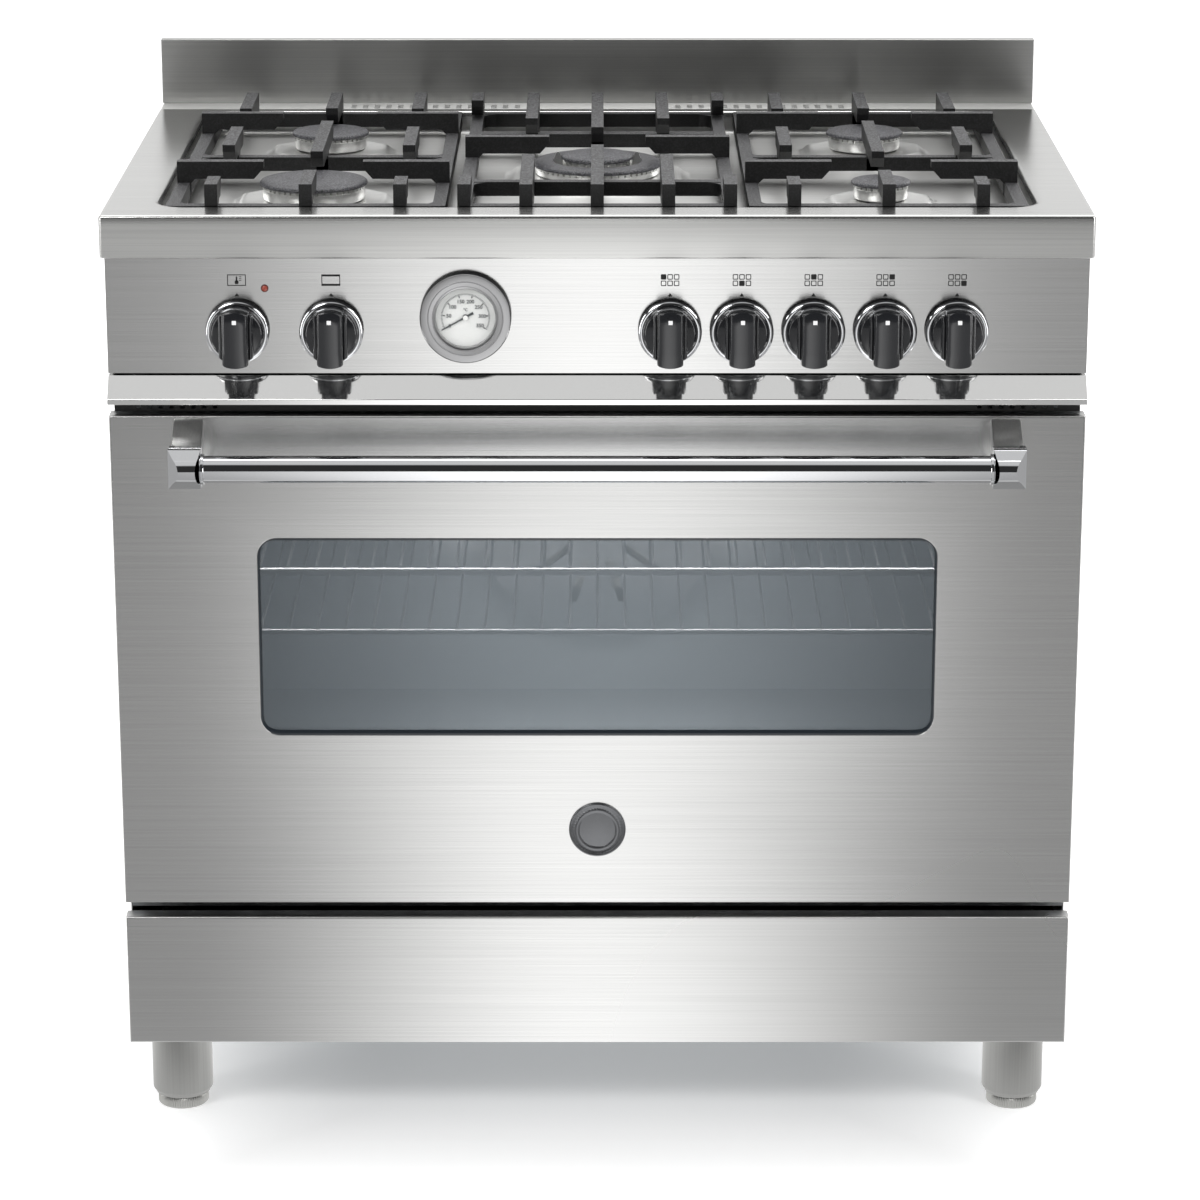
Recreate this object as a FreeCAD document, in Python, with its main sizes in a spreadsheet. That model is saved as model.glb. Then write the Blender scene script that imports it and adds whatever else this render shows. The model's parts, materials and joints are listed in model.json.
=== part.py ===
"""Freestanding gas range, 900 mm wide: five gas burners over an electric oven and a storage drawer.

Frame: +Z up, the front faces -Y, the origin is on the floor under the middle of the range.
All lengths are in millimetres and come from the spreadsheet "Sizes".
"""
import FreeCAD, Part
import math
import os
import Sketcher

# ---------------------------------------------------------------- driving sizes

SIZES = {
    # outline and the stack of fronts, from the floor up
    "hob_width": 900,
    "hob_depth": 600,
    "hob_setback": 4,           # the door's face stands this far in front of the hob
    "hob_overhang": 4,          # hob past the body on each side
    "leg_height": 84,
    "drawer_height": 128,
    "door_gap": 14,
    "door_height": 474,
    "vent_gap": 12,
    "ledge_height": 24,
    "shadow_gap": 2,
    "panel_height": 107,
    "fascia_height": 40,
    "sheet": 1.5,
    "play": 0.3,                # air between parts that move past each other
    # door
    "skin_depth": 20,
    "fold_radius": 2,           # outer radius of the folded front edges
    "door_depth": 42,
    "frame_gap": 4,
    "window_side": 132.5,       # from the door's side edge to the window
    "window_height": 191,
    "window_drop": 116,         # from the door's top edge to the window
    "window_radius": 18,
    "glass_thickness": 4,
    "glass_overlap": 14,
    "glass_radius": 8,
    "inner_window_inset": 22,
    "pivot_back": 22,           # hinge axis behind the door's face
    "pivot_up": 18,             # hinge axis above the door's lower edge
    "hinge_inset": 116,         # hinge from the door's side edge
    "hinge_pin_radius": 4,
    "running_fit": 0.05,
    "hinge_arm_width": 5,
    "hinge_arm_height": 13,
    "hinge_cheek": 3,
    "panel_margin": 8,          # inner door panel inside the skin's outline
    # handle
    "handle_drop": 34,
    "handle_standoff": 62,
    "handle_radius": 12.3,
    "handle_inset": 59.5,       # handle's end from the door's side edge
    "end_block_width": 29,
    "end_block_height": 36,
    "end_block_depth": 30,
    "end_block_bevel": 8,
    "handle_arm_inset": 3,      # arm narrower than its end block on each side
    "handle_arm_height": 26,
    # drawer and base
    "drawer_front_depth": 18,
    "drawer_length": 470,
    "drawer_wall_height": 104,
    "runner_height": 30,
    "runner_width": 12,
    "runner_inset": 12,         # rail from the side panel's inner face
    "base_lift": 2,
    # oven
    "cavity_side": 76,          # from the range's side to the oven's wall
    "cavity_drop": 45,          # oven ceiling below the door's upper edge
    "oven_back_space": 97,      # oven's rear wall to the back cover
    "cavity_rise": 59,          # oven floor above the door's lower edge
    "insulation": 25,
    "liner_flange": 14,
    "seal_width": 10,
    "rack_pitch": 60,
    "rack_wire": 3,
    "rack_rod": 6,
    "rack_front_air": 14,       # between the face frame and the rack
    "rack_rear_air": 3,         # between the rack and the fan guard
    "guide_rod": 5,
    "element_rod": 6.5,
    "element_pitch": 62,
    "guard_radius": 118,
    "guard_depth": 34,
    "fan_radius": 75,
    "fan_shaft_radius": 4,
    "fan_depth": 16,
    "motor_radius": 36,
    "motor_length": 42,
    # control panel
    "panel_setback": 9,
    "ledge_reach": 16,
    "knob_rise": 40,            # knob axis above the panel's lower edge
    "knob_radius": 29,
    "knob_depth": 34,
    "knob_push": 4,             # travel of a gas knob before it turns
    "knob_air": 1,              # air behind a knob that is pushed in
    "grip_width": 30,
    "grip_back": 7,             # the grip starts this far in front of the knob's back
    "stem_radius": 4,
    "stem_reach": 20,           # stem behind the panel's face
    "stem_grip": 13,            # stem inside the knob
    "valve_air": 8,             # air between the panel sheet and the valves
    "valve_width": 28,
    "valve_length": 40,
    "switch_width": 44,
    "switch_length": 38,
    "oven_knob_inset": 119.2,   # outer oven knob from the panel's end
    "oven_knob_pitch": 85.4,
    "burner_knob_inset": 119.6, # last burner knob from the panel's end
    "burner_knob_pitch": 65.1,
    "gauge_offset": 121.9,      # gauge from the inner oven knob
    "gauge_rise": 53,
    "gauge_radius": 41.5,
    "dial_radius": 31,
    "bezel_reach": 11,
    "needle_rest": 119,         # degrees the needle's zero lies from the upright
    "neon_offset": 25.3,        # neon from the outer oven knob
    "neon_rise": 79,
    "neon_radius": 2.5,
    # hob
    "well_side": 47,            # from the hob's side edge to the well
    "well_depth": 22.5,
    "well_front": 39,           # from the hob's front edge to the well
    "well_rear": 59,            # from the well to the hob's rear edge
    "well_radius": 28,
    "dish_height": 6.5,
    "vent_slots": 15,           # columns of slots on each side
    "vent_slot_width": 5,
    "vent_slot_length": 20,
    "vent_row": 172,            # first slot to the last
    "vent_inner": 80,           # from the middle to the first slot
    "vent_back": 14,            # slots behind the well
    "backsplash_height": 66,
    "backsplash_fold": 12,
    # grates
    "grate_top": 20,            # pan height above the hob
    "grate_bar": 12,
    "grate_bar_height": 13.5,
    "arm_rise": 3.5,            # underside of the raised arms above the hob
    "arm_tip": 6,
    "grate_gap": 10.8,          # between two grates
    "grate_side": 9.7,          # between a side grate and the well's wall
    "centre_grate_width": 255,
    "grate_foot": 9,
    "grate_foot_radius": 5,
    "grate_air": 5,             # between the grates and the well's walls
    "tip_gap": 46.5,            # burner middle to the tips that point at it
    "rear_tip_gap": 24,         # the same for the fingers behind the rear burners
    "finger_spread": 86,        # outer fingers from the burner line
    "front_finger": 40,
    "middle_finger": 100,
    "rear_finger": 95,
    "wok_bar_spread": 125,      # cross bars of the centre grate from its middle
    "wok_finger_spread": 65,
    "wok_finger_gap": 96,       # middle line to the tips of the outer fingers
    "corner_finger": 47,
    "arm_flare": 6,             # how far an arm's root spreads along the arm
    # burners
    "burner_spread": 129,       # front and rear burners from the well's middle line
    "rapid_cap": 50.5,
    "medium_cap": 38,
    "small_cap": 28,
    "wok_ring": 62.4,
    "wok_ring_hole": 42,
    "wok_cap": 34.3,
    "spreader_height": 14,
    "wok_drop": 6,              # the wok ring sits this much lower than the other burners
    "cup_depth": 14,
    "cup_inset": 10.5,          # burner cup narrower than its cap
    "port_width": 2.2,
    "port_height": 4,
    "dish_margin": 24,          # pressed dish round a burner
    "cap_thickness": 4.6,
    "cap_lap": 3,               # cap wider than its flame ring
    # legs
    "leg_radius": 29,
    "leg_side": 43.5,           # leg's middle from the range's side
    "leg_setback": 59,
    "leg_rear_inset": 62,
    "foot_height": 12,
    "foot_radius": 24.4,
    "foot_screw_radius": 6,
    # rear
    "rear_inset": 28,
    "pipe_radius": 9,
    "inlet_inset": 60,          # gas inlet from the range's side
    "inlet_radius": 10.48,
    "inlet_length": 24,
}

doc = FreeCAD.newDocument("gas_range")
sheet_cells = doc.addObject("Spreadsheet::Sheet", "Sizes")
for row, (alias, number) in enumerate(SIZES.items(), start=1):
    sheet_cells.set(f"A{row}", alias)
    sheet_cells.set(f"B{row}", str(number))
    sheet_cells.setAlias(f"B{row}", alias)
doc.recompute()


class Length:
    """A length that carries both its number and the spreadsheet formula it comes from."""

    def __init__(self, number, formula=None):
        self.number = float(number)
        self.formula = formula or repr(float(number))

    def combine(self, other, sign, number):
        return Length(number, f"({self.formula} {sign} {other.formula})")

    def __add__(self, other):
        other = length(other)
        return self.combine(other, "+", self.number + other.number)

    def __sub__(self, other):
        other = length(other)
        return self.combine(other, "-", self.number - other.number)

    def __mul__(self, other):
        other = length(other)
        return self.combine(other, "*", self.number * other.number)

    def __truediv__(self, other):
        other = length(other)
        return self.combine(other, "/", self.number / other.number)

    def __radd__(self, other):
        return length(other) + self

    def __rsub__(self, other):
        return length(other) - self

    def __rmul__(self, other):
        return length(other) * self

    def __neg__(self):
        return length(0) - self


def length(value):
    """Return value as a Length."""
    return value if isinstance(value, Length) else Length(value)


class Sizes:
    """Gives each spreadsheet cell as a Length, by its alias."""

    def __getattr__(self, alias):
        return Length(sheet_cells.get(alias), f"Sizes.{alias}")


size = Sizes()

# ---------------------------------------------------------------- shared planes

FRONT = (size.handle_standoff + size.end_block_depth / 2 - size.hob_setback - size.hob_depth) / 2
HOB_FRONT = FRONT + size.hob_setback
REAR = HOB_FRONT + size.hob_depth
FRAME_FACE = FRONT + size.door_depth + size.frame_gap
FRAME_BACK = FRAME_FACE + size.sheet
PANEL_FACE = FRONT + size.panel_setback
COVER_BACK = REAR - size.rear_inset
COVER_FACE = COVER_BACK - size.sheet
CAVITY_REAR = COVER_FACE - size.oven_back_space

DRAWER_BOTTOM = size.leg_height
DRAWER_TOP = DRAWER_BOTTOM + size.drawer_height
DOOR_BOTTOM = DRAWER_TOP + size.door_gap
DOOR_TOP = DOOR_BOTTOM + size.door_height
LEDGE_BOTTOM = DOOR_TOP + size.vent_gap
LEDGE_TOP = LEDGE_BOTTOM + size.ledge_height
PANEL_BOTTOM = LEDGE_TOP + size.shadow_gap
HOB_BOTTOM = PANEL_BOTTOM + size.panel_height
HOB_TOP = HOB_BOTTOM + size.fascia_height

HALF_BODY = size.hob_width / 2 - size.hob_overhang
INSIDE = HALF_BODY - size.sheet
CAVITY_HALF = HALF_BODY - size.cavity_side
CAVITY_FLOOR = DOOR_BOTTOM + size.cavity_rise
CAVITY_CEILING = DOOR_TOP - size.cavity_drop
CAVITY_MIDDLE = (CAVITY_FLOOR + CAVITY_CEILING) / 2
PIVOT_Y = FRONT + size.pivot_back
PIVOT_Z = DOOR_BOTTOM + size.pivot_up
HINGE_X = HALF_BODY - size.hinge_inset
WINDOW_HALF = HALF_BODY - size.window_side
WELL_HALF = size.hob_width / 2 - size.well_side
WELL_FRONT = HOB_FRONT + size.well_front
WELL_BACK = REAR - size.well_rear
WELL_MIDDLE = (WELL_FRONT + WELL_BACK) / 2
WELL_FLOOR = HOB_TOP - size.well_depth
CENTRE_HALF = size.centre_grate_width / 2
SIDE_INNER = CENTRE_HALF + size.grate_gap
SIDE_OUTER = WELL_HALF - size.grate_side
BURNER_X = (SIDE_INNER + SIDE_OUTER) / 2
GRATE_FRONT = WELL_FRONT + size.grate_air
GRATE_BACK = WELL_BACK - size.grate_air
DISH_TOP = WELL_FLOOR + size.dish_height
BASE_FLOOR = DRAWER_BOTTOM + size.base_lift + size.sheet
KNOB_HEIGHT = PANEL_BOTTOM + size.knob_rise
KNOB_BACK = size.knob_push + size.knob_air
INLET_X = HALF_BODY - size.inlet_inset

X, Y, Z = FreeCAD.Vector(1, 0, 0), FreeCAD.Vector(0, 1, 0), FreeCAD.Vector(0, 0, 1)
UPRIGHT = FreeCAD.Rotation()
FACING_FRONT = FreeCAD.Rotation(X, 90)      # turns a part's own +Z to -Y
ALONG_X = FreeCAD.Rotation(Y, 90)           # turns a part's own +Z to +X
ALONG_Y = FreeCAD.Rotation(X, -90)          # turns a part's own +Z to +Y
EVERY_SIDE = (-1, 1)

# ---------------------------------------------------------------- modelling helpers


def bind(item, **lengths):
    """Tie properties of an object to their spreadsheet formulas."""
    for name, value in lengths.items():
        item.setExpression(name.replace("_", "."), length(value).formula)


def put(item, x=0, y=0, z=0, turn=UPRIGHT):
    """Place an object, its position tied to the spreadsheet."""
    item.Placement = FreeCAD.Placement(FreeCAD.Vector(0, 0, 0), turn)
    for axis, value in zip("xyz", (x, y, z)):
        item.setExpression(f"Placement.Base.{axis}", length(value).formula)
    return item


def new_body(label):
    """Start a PartDesign body; its label is the node's name."""
    body = doc.addObject("PartDesign::Body", label)
    body.Label = label
    return body


def add_box(body, x, y, z, kind="Additive"):
    """Add a box to a body, or cut one, between two limits along each axis."""
    box = body.newObject(f"PartDesign::{kind}Box", f"{body.Name}_box")
    bind(box, Length=x[1] - x[0], Width=y[1] - y[0], Height=z[1] - z[0])
    return put(box, x[0], y[0], z[0])


def cut_box(body, x, y, z):
    """Cut a box out of a body."""
    return add_box(body, x, y, z, "Subtractive")


def add_cylinder(body, radius, height, x=0, y=0, z=0, turn=UPRIGHT, kind="Additive"):
    """Add a cylinder to a body, or cut one, from its base centre along its own +Z."""
    cylinder = body.newObject(f"PartDesign::{kind}Cylinder", f"{body.Name}_cylinder")
    bind(cylinder, Radius=radius, Height=height)
    return put(cylinder, x, y, z, turn)


def cut_cylinder(body, radius, height, x=0, y=0, z=0, turn=UPRIGHT):
    """Cut a round hole in a body."""
    return add_cylinder(body, radius, height, x, y, z, turn, "Subtractive")


def origin_item(body, role):
    """Return one of a body's own origin planes or axes."""
    return next(item for item in body.Origin.OriginFeatures if item.Role == role)


def add_sketch(body, plane, offset=0):
    """Start a sketch on one of the body's origin planes, moved along its normal."""
    sketch = body.newObject("Sketcher::SketchObject", f"{body.Name}_sketch")
    sketch.AttachmentSupport = (origin_item(body, plane), [""])
    sketch.MapMode = "FlatFace"
    sketch.setExpression("AttachmentOffset.Base.z", length(offset).formula)
    return sketch


def add_outline(sketch, corners):
    """Draw a closed outline whose corners are tied to the spreadsheet."""
    first = sketch.GeometryCount
    count = len(corners)
    places = [FreeCAD.Vector(length(u).number, length(v).number, 0) for u, v in corners]
    for index in range(count):
        sketch.addGeometry(Part.LineSegment(places[index], places[(index + 1) % count]))
    for index in range(count):
        following = first + (index + 1) % count
        sketch.addConstraint(Sketcher.Constraint("Coincident", first + index, 2, following, 1))
    for index, corner in enumerate(corners):
        for kind, value in zip(("DistanceX", "DistanceY"), corner):
            number = length(value).number
            place = sketch.addConstraint(Sketcher.Constraint(kind, first + index, 1, number))
            sketch.setExpression(f"Constraints[{place}]", length(value).formula)


def add_pad(body, corners, plane, thickness, offset=0, taper=0):
    """Pad an outline from its plane along the plane's normal."""
    sketch = add_sketch(body, plane, offset)
    add_outline(sketch, corners)
    pad = body.newObject("PartDesign::Pad", f"{body.Name}_pad")
    pad.Profile = sketch
    pad.TaperAngle = taper
    bind(pad, Length=thickness)
    return pad


def add_turning(body, corners):
    """Turn an outline of (radius, height) corners about the body's own Z axis."""
    sketch = add_sketch(body, "XZ_Plane")
    add_outline(sketch, corners)
    turning = body.newObject("PartDesign::Revolution", f"{body.Name}_turning")
    turning.Profile = sketch
    turning.ReferenceAxis = (sketch, ["V_Axis"])
    turning.Angle = 360
    return turning


def round_edges(body, radius, wanted, kind="Fillet"):
    """Fillet (or chamfer) the edges of a body's shape that wanted(edge) accepts."""
    doc.recompute()
    base = body.Tip
    names = [f"Edge{number}" for number, edge in enumerate(base.Shape.Edges, start=1) if wanted(edge)]
    feature = body.newObject(f"PartDesign::{kind}", f"{body.Name}_{kind.lower()}")
    feature.Base = (base, names)
    if kind == "Fillet":
        bind(feature, Radius=radius)
    else:
        bind(feature, Size=radius)
    return feature


def runs_along(axis):
    """Return a test for straight edges parallel to an axis."""
    def test(edge):
        if edge.Degenerated or not isinstance(edge.Curve, Part.Line):
            return False
        return abs(abs(edge.tangentAt(edge.FirstParameter).dot(axis)) - 1) < 1e-6
    return test


def pattern_round(body, features, count):
    """Repeat features evenly about the body's own Z axis."""
    pattern = body.newObject("PartDesign::PolarPattern", f"{body.Name}_ring")
    pattern.Originals = features
    pattern.Axis = (origin_item(body, "Z_Axis"), [""])
    pattern.Angle = 360
    pattern.Occurrences = count
    body.Tip = pattern
    return pattern


def pattern_line(body, features, axis, reach, count):
    """Repeat features evenly along one of the body's axes."""
    pattern = body.newObject("PartDesign::LinearPattern", f"{body.Name}_row")
    pattern.Originals = features
    pattern.Direction = (origin_item(body, axis), [""])
    bind(pattern, Length=reach)
    pattern.Occurrences = count
    body.Tip = pattern
    return pattern


def rod(radius, reach, x, y, z, turn=UPRIGHT, sides=8):
    """Return a straight bar with an even number of flats; two of them face up and down."""
    item = doc.addObject("Part::Prism", "rod")
    item.Polygon = sides
    bind(item, Circumradius=radius / math.cos(math.pi / sides), Height=reach)
    twist = FreeCAD.Rotation(Z, 180 / sides if sides % 4 == 0 else 0)
    return put(item, x, y, z, turn.multiply(twist))


def join(label, items):
    """Fuse Part objects into one named piece."""
    piece = doc.addObject("Part::MultiFuse", label)
    piece.Label = label
    piece.Shapes = items
    return piece


def group(label, items):
    """Hold several like pieces as separate solids of one node."""
    piece = doc.addObject("Part::Compound", label)
    piece.Label = label
    piece.Links = items
    return piece


NODES = []


def keep(*pieces):
    """List pieces as nodes of the range."""
    NODES.extend(pieces)


# ---------------------------------------------------------------- chassis


def base_pan():
    """Folded steel tray that the legs bolt to; two rails on it carry the drawer."""
    body = new_body("base_pan")
    front_air, wall_height, rail_end = 30, 20, 30
    front, back = FRONT + front_air, COVER_FACE
    bottom = DRAWER_BOTTOM + size.base_lift
    add_box(body, (-INSIDE, INSIDE), (front, back), (bottom, BASE_FLOOR))
    for side in EVERY_SIDE:
        wall = sorted((side * INSIDE, side * (INSIDE - size.sheet)), key=lambda edge: edge.number)
        add_box(body, wall, (FRAME_FACE, back), (bottom, BASE_FLOOR + wall_height))
        outer = side * (INSIDE - size.runner_inset)
        inner = outer - side * size.runner_width
        rail = sorted((outer, inner), key=lambda edge: edge.number)
        add_box(body, rail, (front + 2, back - rail_end), (bottom, BASE_FLOOR + size.runner_height))
    keep(body)


def side_panel(label, side):
    """Outer side sheet with a folded front lip and a top flange that carries the hob."""
    body = new_body(label)
    outer, inner = side * HALF_BODY, side * INSIDE
    flange = 20
    sheet_x = sorted((outer, inner), key=lambda edge: edge.number)
    flange_x = sorted((outer, inner - side * flange), key=lambda edge: edge.number)
    add_box(body, sheet_x, (FRAME_FACE, COVER_BACK), (DRAWER_BOTTOM, HOB_BOTTOM))
    add_box(body, flange_x, (FRAME_FACE, COVER_BACK), (HOB_BOTTOM - size.sheet, HOB_BOTTOM))
    keep(body)


def hinge_arm(side):
    """Arm of one door hinge, fixed to the face frame; its eye takes the hinge pin."""
    arm = new_body("hinge_arm")
    width, eye = size.hinge_arm_width, size.hinge_arm_height / 2
    start = side * HINGE_X - width / 2
    add_box(arm, (start, start + width), (PIVOT_Y, FRAME_FACE), (PIVOT_Z - eye, PIVOT_Z + eye))
    add_cylinder(arm, eye, width, start, PIVOT_Y, PIVOT_Z, ALONG_X)
    cut_cylinder(arm, size.hinge_pin_radius + size.running_fit, width + 2, start - 1,
                 PIVOT_Y, PIVOT_Z, ALONG_X)
    return arm


def front_frame():
    """Face frame round the oven mouth, with folded lips and the fixed arms of the hinges."""
    body = new_body("frame_sheet")
    lap, lip = 6, 18
    low, high = DRAWER_TOP - lap, PANEL_BOTTOM - size.shadow_gap
    add_box(body, (-INSIDE, INSIDE), (FRAME_FACE, FRAME_BACK), (low, high))
    add_box(body, (-INSIDE, INSIDE), (FRAME_FACE, FRAME_FACE + lip), (low, low + size.sheet))
    add_box(body, (-INSIDE, INSIDE), (FRAME_FACE, FRAME_FACE + lip), (high - size.sheet, high))
    cut_box(body, (-CAVITY_HALF, CAVITY_HALF), (FRAME_FACE - 1, FRAME_BACK + 1),
            (CAVITY_FLOOR, CAVITY_CEILING))
    keep(group("front_frame", [body] + [hinge_arm(side) for side in EVERY_SIDE]))


def rear_cover():
    """Galvanised back sheet with two rows of pressed cooling slots and a terminal box."""
    body = new_body("rear_cover")
    top = HOB_BOTTOM - size.sheet
    through = (COVER_FACE - 1, COVER_BACK + 1)
    add_box(body, (-INSIDE, INSIDE), (COVER_FACE, COVER_BACK), (DRAWER_BOTTOM + size.base_lift, top))
    slot_length, slot_height, slot_rise, slot_rows = 60, 6, 60, 30
    slot_start, slot_low = INSIDE * -0.7, CAVITY_CEILING + slot_rise
    slot = cut_box(body, (slot_start, slot_start + slot_length), through,
                   (slot_low, slot_low + slot_height))
    pattern = pattern_line(body, [slot], "X_Axis", slot_start * -2 - slot_length, 7)
    pattern.Direction2 = (origin_item(body, "Z_Axis"), [""])
    bind(pattern, Length2=slot_rows)
    pattern.Occurrences2 = 3
    box_width, box_depth, box_height, cable_hole = 90, 22, 70, 8
    box_left, box_low = INSIDE * -0.75, DRAWER_TOP + 60
    add_box(body, (box_left, box_left + box_width), (COVER_BACK, COVER_BACK + box_depth),
            (box_low, box_low + box_height))
    cut_cylinder(body, cable_hole, box_height / 2, box_left + box_width / 2, COVER_BACK + box_depth / 2,
                 box_low - 10)
    cut_cylinder(body, size.pipe_radius + 1, size.sheet + 2, INLET_X, COVER_FACE - 1, KNOB_HEIGHT, ALONG_Y)
    keep(body)


def legs():
    """Four brushed tube legs; in each, a foot on a screw levels the range."""
    places = {
        "front_left": (-1, FRONT + size.leg_setback),
        "front_right": (1, FRONT + size.leg_setback),
        "rear_left": (-1, COVER_BACK - size.leg_rear_inset),
        "rear_right": (1, COVER_BACK - size.leg_rear_inset),
    }
    tubes = []
    top = DRAWER_BOTTOM + size.base_lift
    screw_end = top - 12
    for name, (side, y) in places.items():
        x = side * (HALF_BODY - size.leg_side)
        tube = new_body(f"leg_{name}_tube")
        add_cylinder(tube, size.leg_radius, top - size.foot_height, 0, 0, size.foot_height)
        cut_cylinder(tube, size.foot_screw_radius + size.play, top)
        put(tube, x, y, 0)
        tubes.append(tube)
        foot = new_body(f"foot_{name}")
        add_turning(foot, [(0, 0), (size.foot_radius, 0), (size.foot_radius, size.foot_height),
                           (size.foot_screw_radius, size.foot_height),
                           (size.foot_screw_radius, screw_end), (0, screw_end)])
        put(foot, x, y, 0)
        keep(foot)
    keep(group("leg_tubes", tubes))


# ---------------------------------------------------------------- oven


def oven_liner():
    """Enamelled oven box, open at the front, flanged onto the back of the face frame."""
    body = new_body("oven_liner")
    wall = size.sheet
    shell_x = (-CAVITY_HALF - wall, CAVITY_HALF + wall)
    shell_z = (CAVITY_FLOOR - wall, CAVITY_CEILING + wall)
    add_box(body, shell_x, (FRAME_BACK, CAVITY_REAR + wall), shell_z)
    flange = size.liner_flange
    add_box(body, (shell_x[0] - flange, shell_x[1] + flange), (FRAME_BACK, FRAME_BACK + wall),
            (shell_z[0] - flange, shell_z[1] + flange))
    cut_box(body, (-CAVITY_HALF, CAVITY_HALF), (FRAME_BACK - 1, CAVITY_REAR),
            (CAVITY_FLOOR, CAVITY_CEILING))
    cut_cylinder(body, size.fan_shaft_radius + 2, 10, 0, CAVITY_REAR - 5,
                 CAVITY_MIDDLE, ALONG_Y)
    keep(body)


def insulation():
    """Mineral wool jacket round the oven box, open at the front."""
    body = new_body("insulation")
    wall, wool = size.sheet, size.insulation
    front = FRAME_BACK + wall
    gap_x = CAVITY_HALF + wall
    gap_z = (CAVITY_FLOOR - wall, CAVITY_CEILING + wall)
    add_box(body, (-gap_x - wool, gap_x + wool), (front, CAVITY_REAR + wall + wool),
            (gap_z[0] - wool, gap_z[1] + wool))
    cut_box(body, (-gap_x, gap_x), (front - 1, CAVITY_REAR + wall), gap_z)
    shaft_hole = 20
    cut_cylinder(body, shaft_hole, wool + 2, 0, CAVITY_REAR, CAVITY_MIDDLE, ALONG_Y)
    keep(body)


def door_seal():
    """Heat-proof rope seal round the oven mouth, flattened where the door meets it."""
    body = new_body("door_seal")
    margin = 10
    inner_x, inner_z = CAVITY_HALF + margin, (CAVITY_FLOOR - margin, CAVITY_CEILING + margin)
    band = size.seal_width
    y = (FRAME_FACE - size.frame_gap + size.play, FRAME_FACE)
    add_box(body, (-inner_x - band, inner_x + band), y, (inner_z[0] - band, inner_z[1] + band))
    round_edges(body, band, runs_along(Y))
    cut_box(body, (-inner_x, inner_x), (y[0] - 1, y[1] + 1), inner_z)
    keep(body)


def rung_height(level):
    """Height of the middle of a guide rung; level 1 is the lowest."""
    return CAVITY_FLOOR + size.rack_pitch * level + 4


def rack_guides():
    """Chromed wire ladders on both oven walls; each pair of rungs is a shelf level."""
    radius = size.guide_rod / 2
    levels = 5
    post_air, front_air, rear_air, post_inset = 30, 22, 48, 30
    low, front = CAVITY_FLOOR + post_air, FRAME_BACK + front_air
    reach = CAVITY_REAR - rear_air - front
    post_height = CAVITY_CEILING - post_air - low
    ladders = []
    for side in EVERY_SIDE:
        post_x = side * (CAVITY_HALF - radius)
        rung_x = side * (CAVITY_HALF - radius * 3)
        parts = [rod(radius, post_height, post_x, front + inset, low)
                 for inset in (post_inset, reach - post_inset)]
        for level in range(1, levels + 1):
            parts.append(rod(radius, reach, rung_x, front, rung_height(level), ALONG_Y))
        ladders.append(join("ladder", parts))
    keep(group("rack_guides", ladders))


def oven_rack(label, level):
    """Chromed wire shelf: a bent frame rod, cross wires on top and a centre stiffener."""
    radius, wire = size.rack_rod / 2, size.rack_wire / 2
    height = rung_height(level) + size.guide_rod / 2 + radius
    half = CAVITY_HALF - size.guide_rod - radius
    front = FRAME_BACK + size.rack_front_air + radius
    depth = CAVITY_REAR - size.guard_depth - size.rack_rear_air - radius - front
    parts = [rod(radius, depth, side * half, front, height, ALONG_Y) for side in EVERY_SIDE]
    parts += [rod(radius, half * 2, -half, front + inset, height, ALONG_X)
              for inset in (length(0), depth / 2, depth)]
    wires = 17
    for number in range(1, wires + 1):
        x = half * (2 * number / (wires + 1) - 1)
        parts.append(rod(wire, depth, x, front, height + radius + wire, ALONG_Y, sides=6))
    keep(join(label, parts))


def grill_element():
    """Sheathed grill element under the oven ceiling: one tube bent into four passes."""
    tube = size.element_rod.number / 2
    ceiling_air, front_air, bend_air = 16, 70, 60
    height = (CAVITY_CEILING - ceiling_air).number
    front, back = (FRAME_BACK + front_air).number, CAVITY_REAR.number
    pitch = size.element_pitch.number
    turn_radius = pitch / 2
    turn_back = back - bend_air
    path = []
    for number in range(4):
        x = pitch * (number - 1.5)
        ends = [FreeCAD.Vector(x, back if number in (0, 3) else turn_back, height),
                FreeCAD.Vector(x, front, height)]
        forward = number % 2 == 0
        start, finish = ends if forward else reversed(ends)
        path.append(Part.LineSegment(start, finish).toShape())
        if number < 3:
            lead = FreeCAD.Vector(turn_radius, -turn_radius if forward else turn_radius, 0)
            across = FreeCAD.Vector(pitch, 0, 0)
            path.append(Part.Arc(finish, finish + lead, finish + across).toShape())
    corners = [FreeCAD.Vector(tube * math.cos(angle), 0, tube * math.sin(angle))
               for angle in (math.pi / 4 * step for step in range(9))]
    section = Part.makePolygon(corners)
    section.translate(path[0].Vertexes[0].Point)
    element = doc.addObject("Part::Feature", "grill_element")
    element.Label = "grill_element"
    element.Shape = Part.Wire(path).makePipeShell([section], True, False)
    keep(element)


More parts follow.
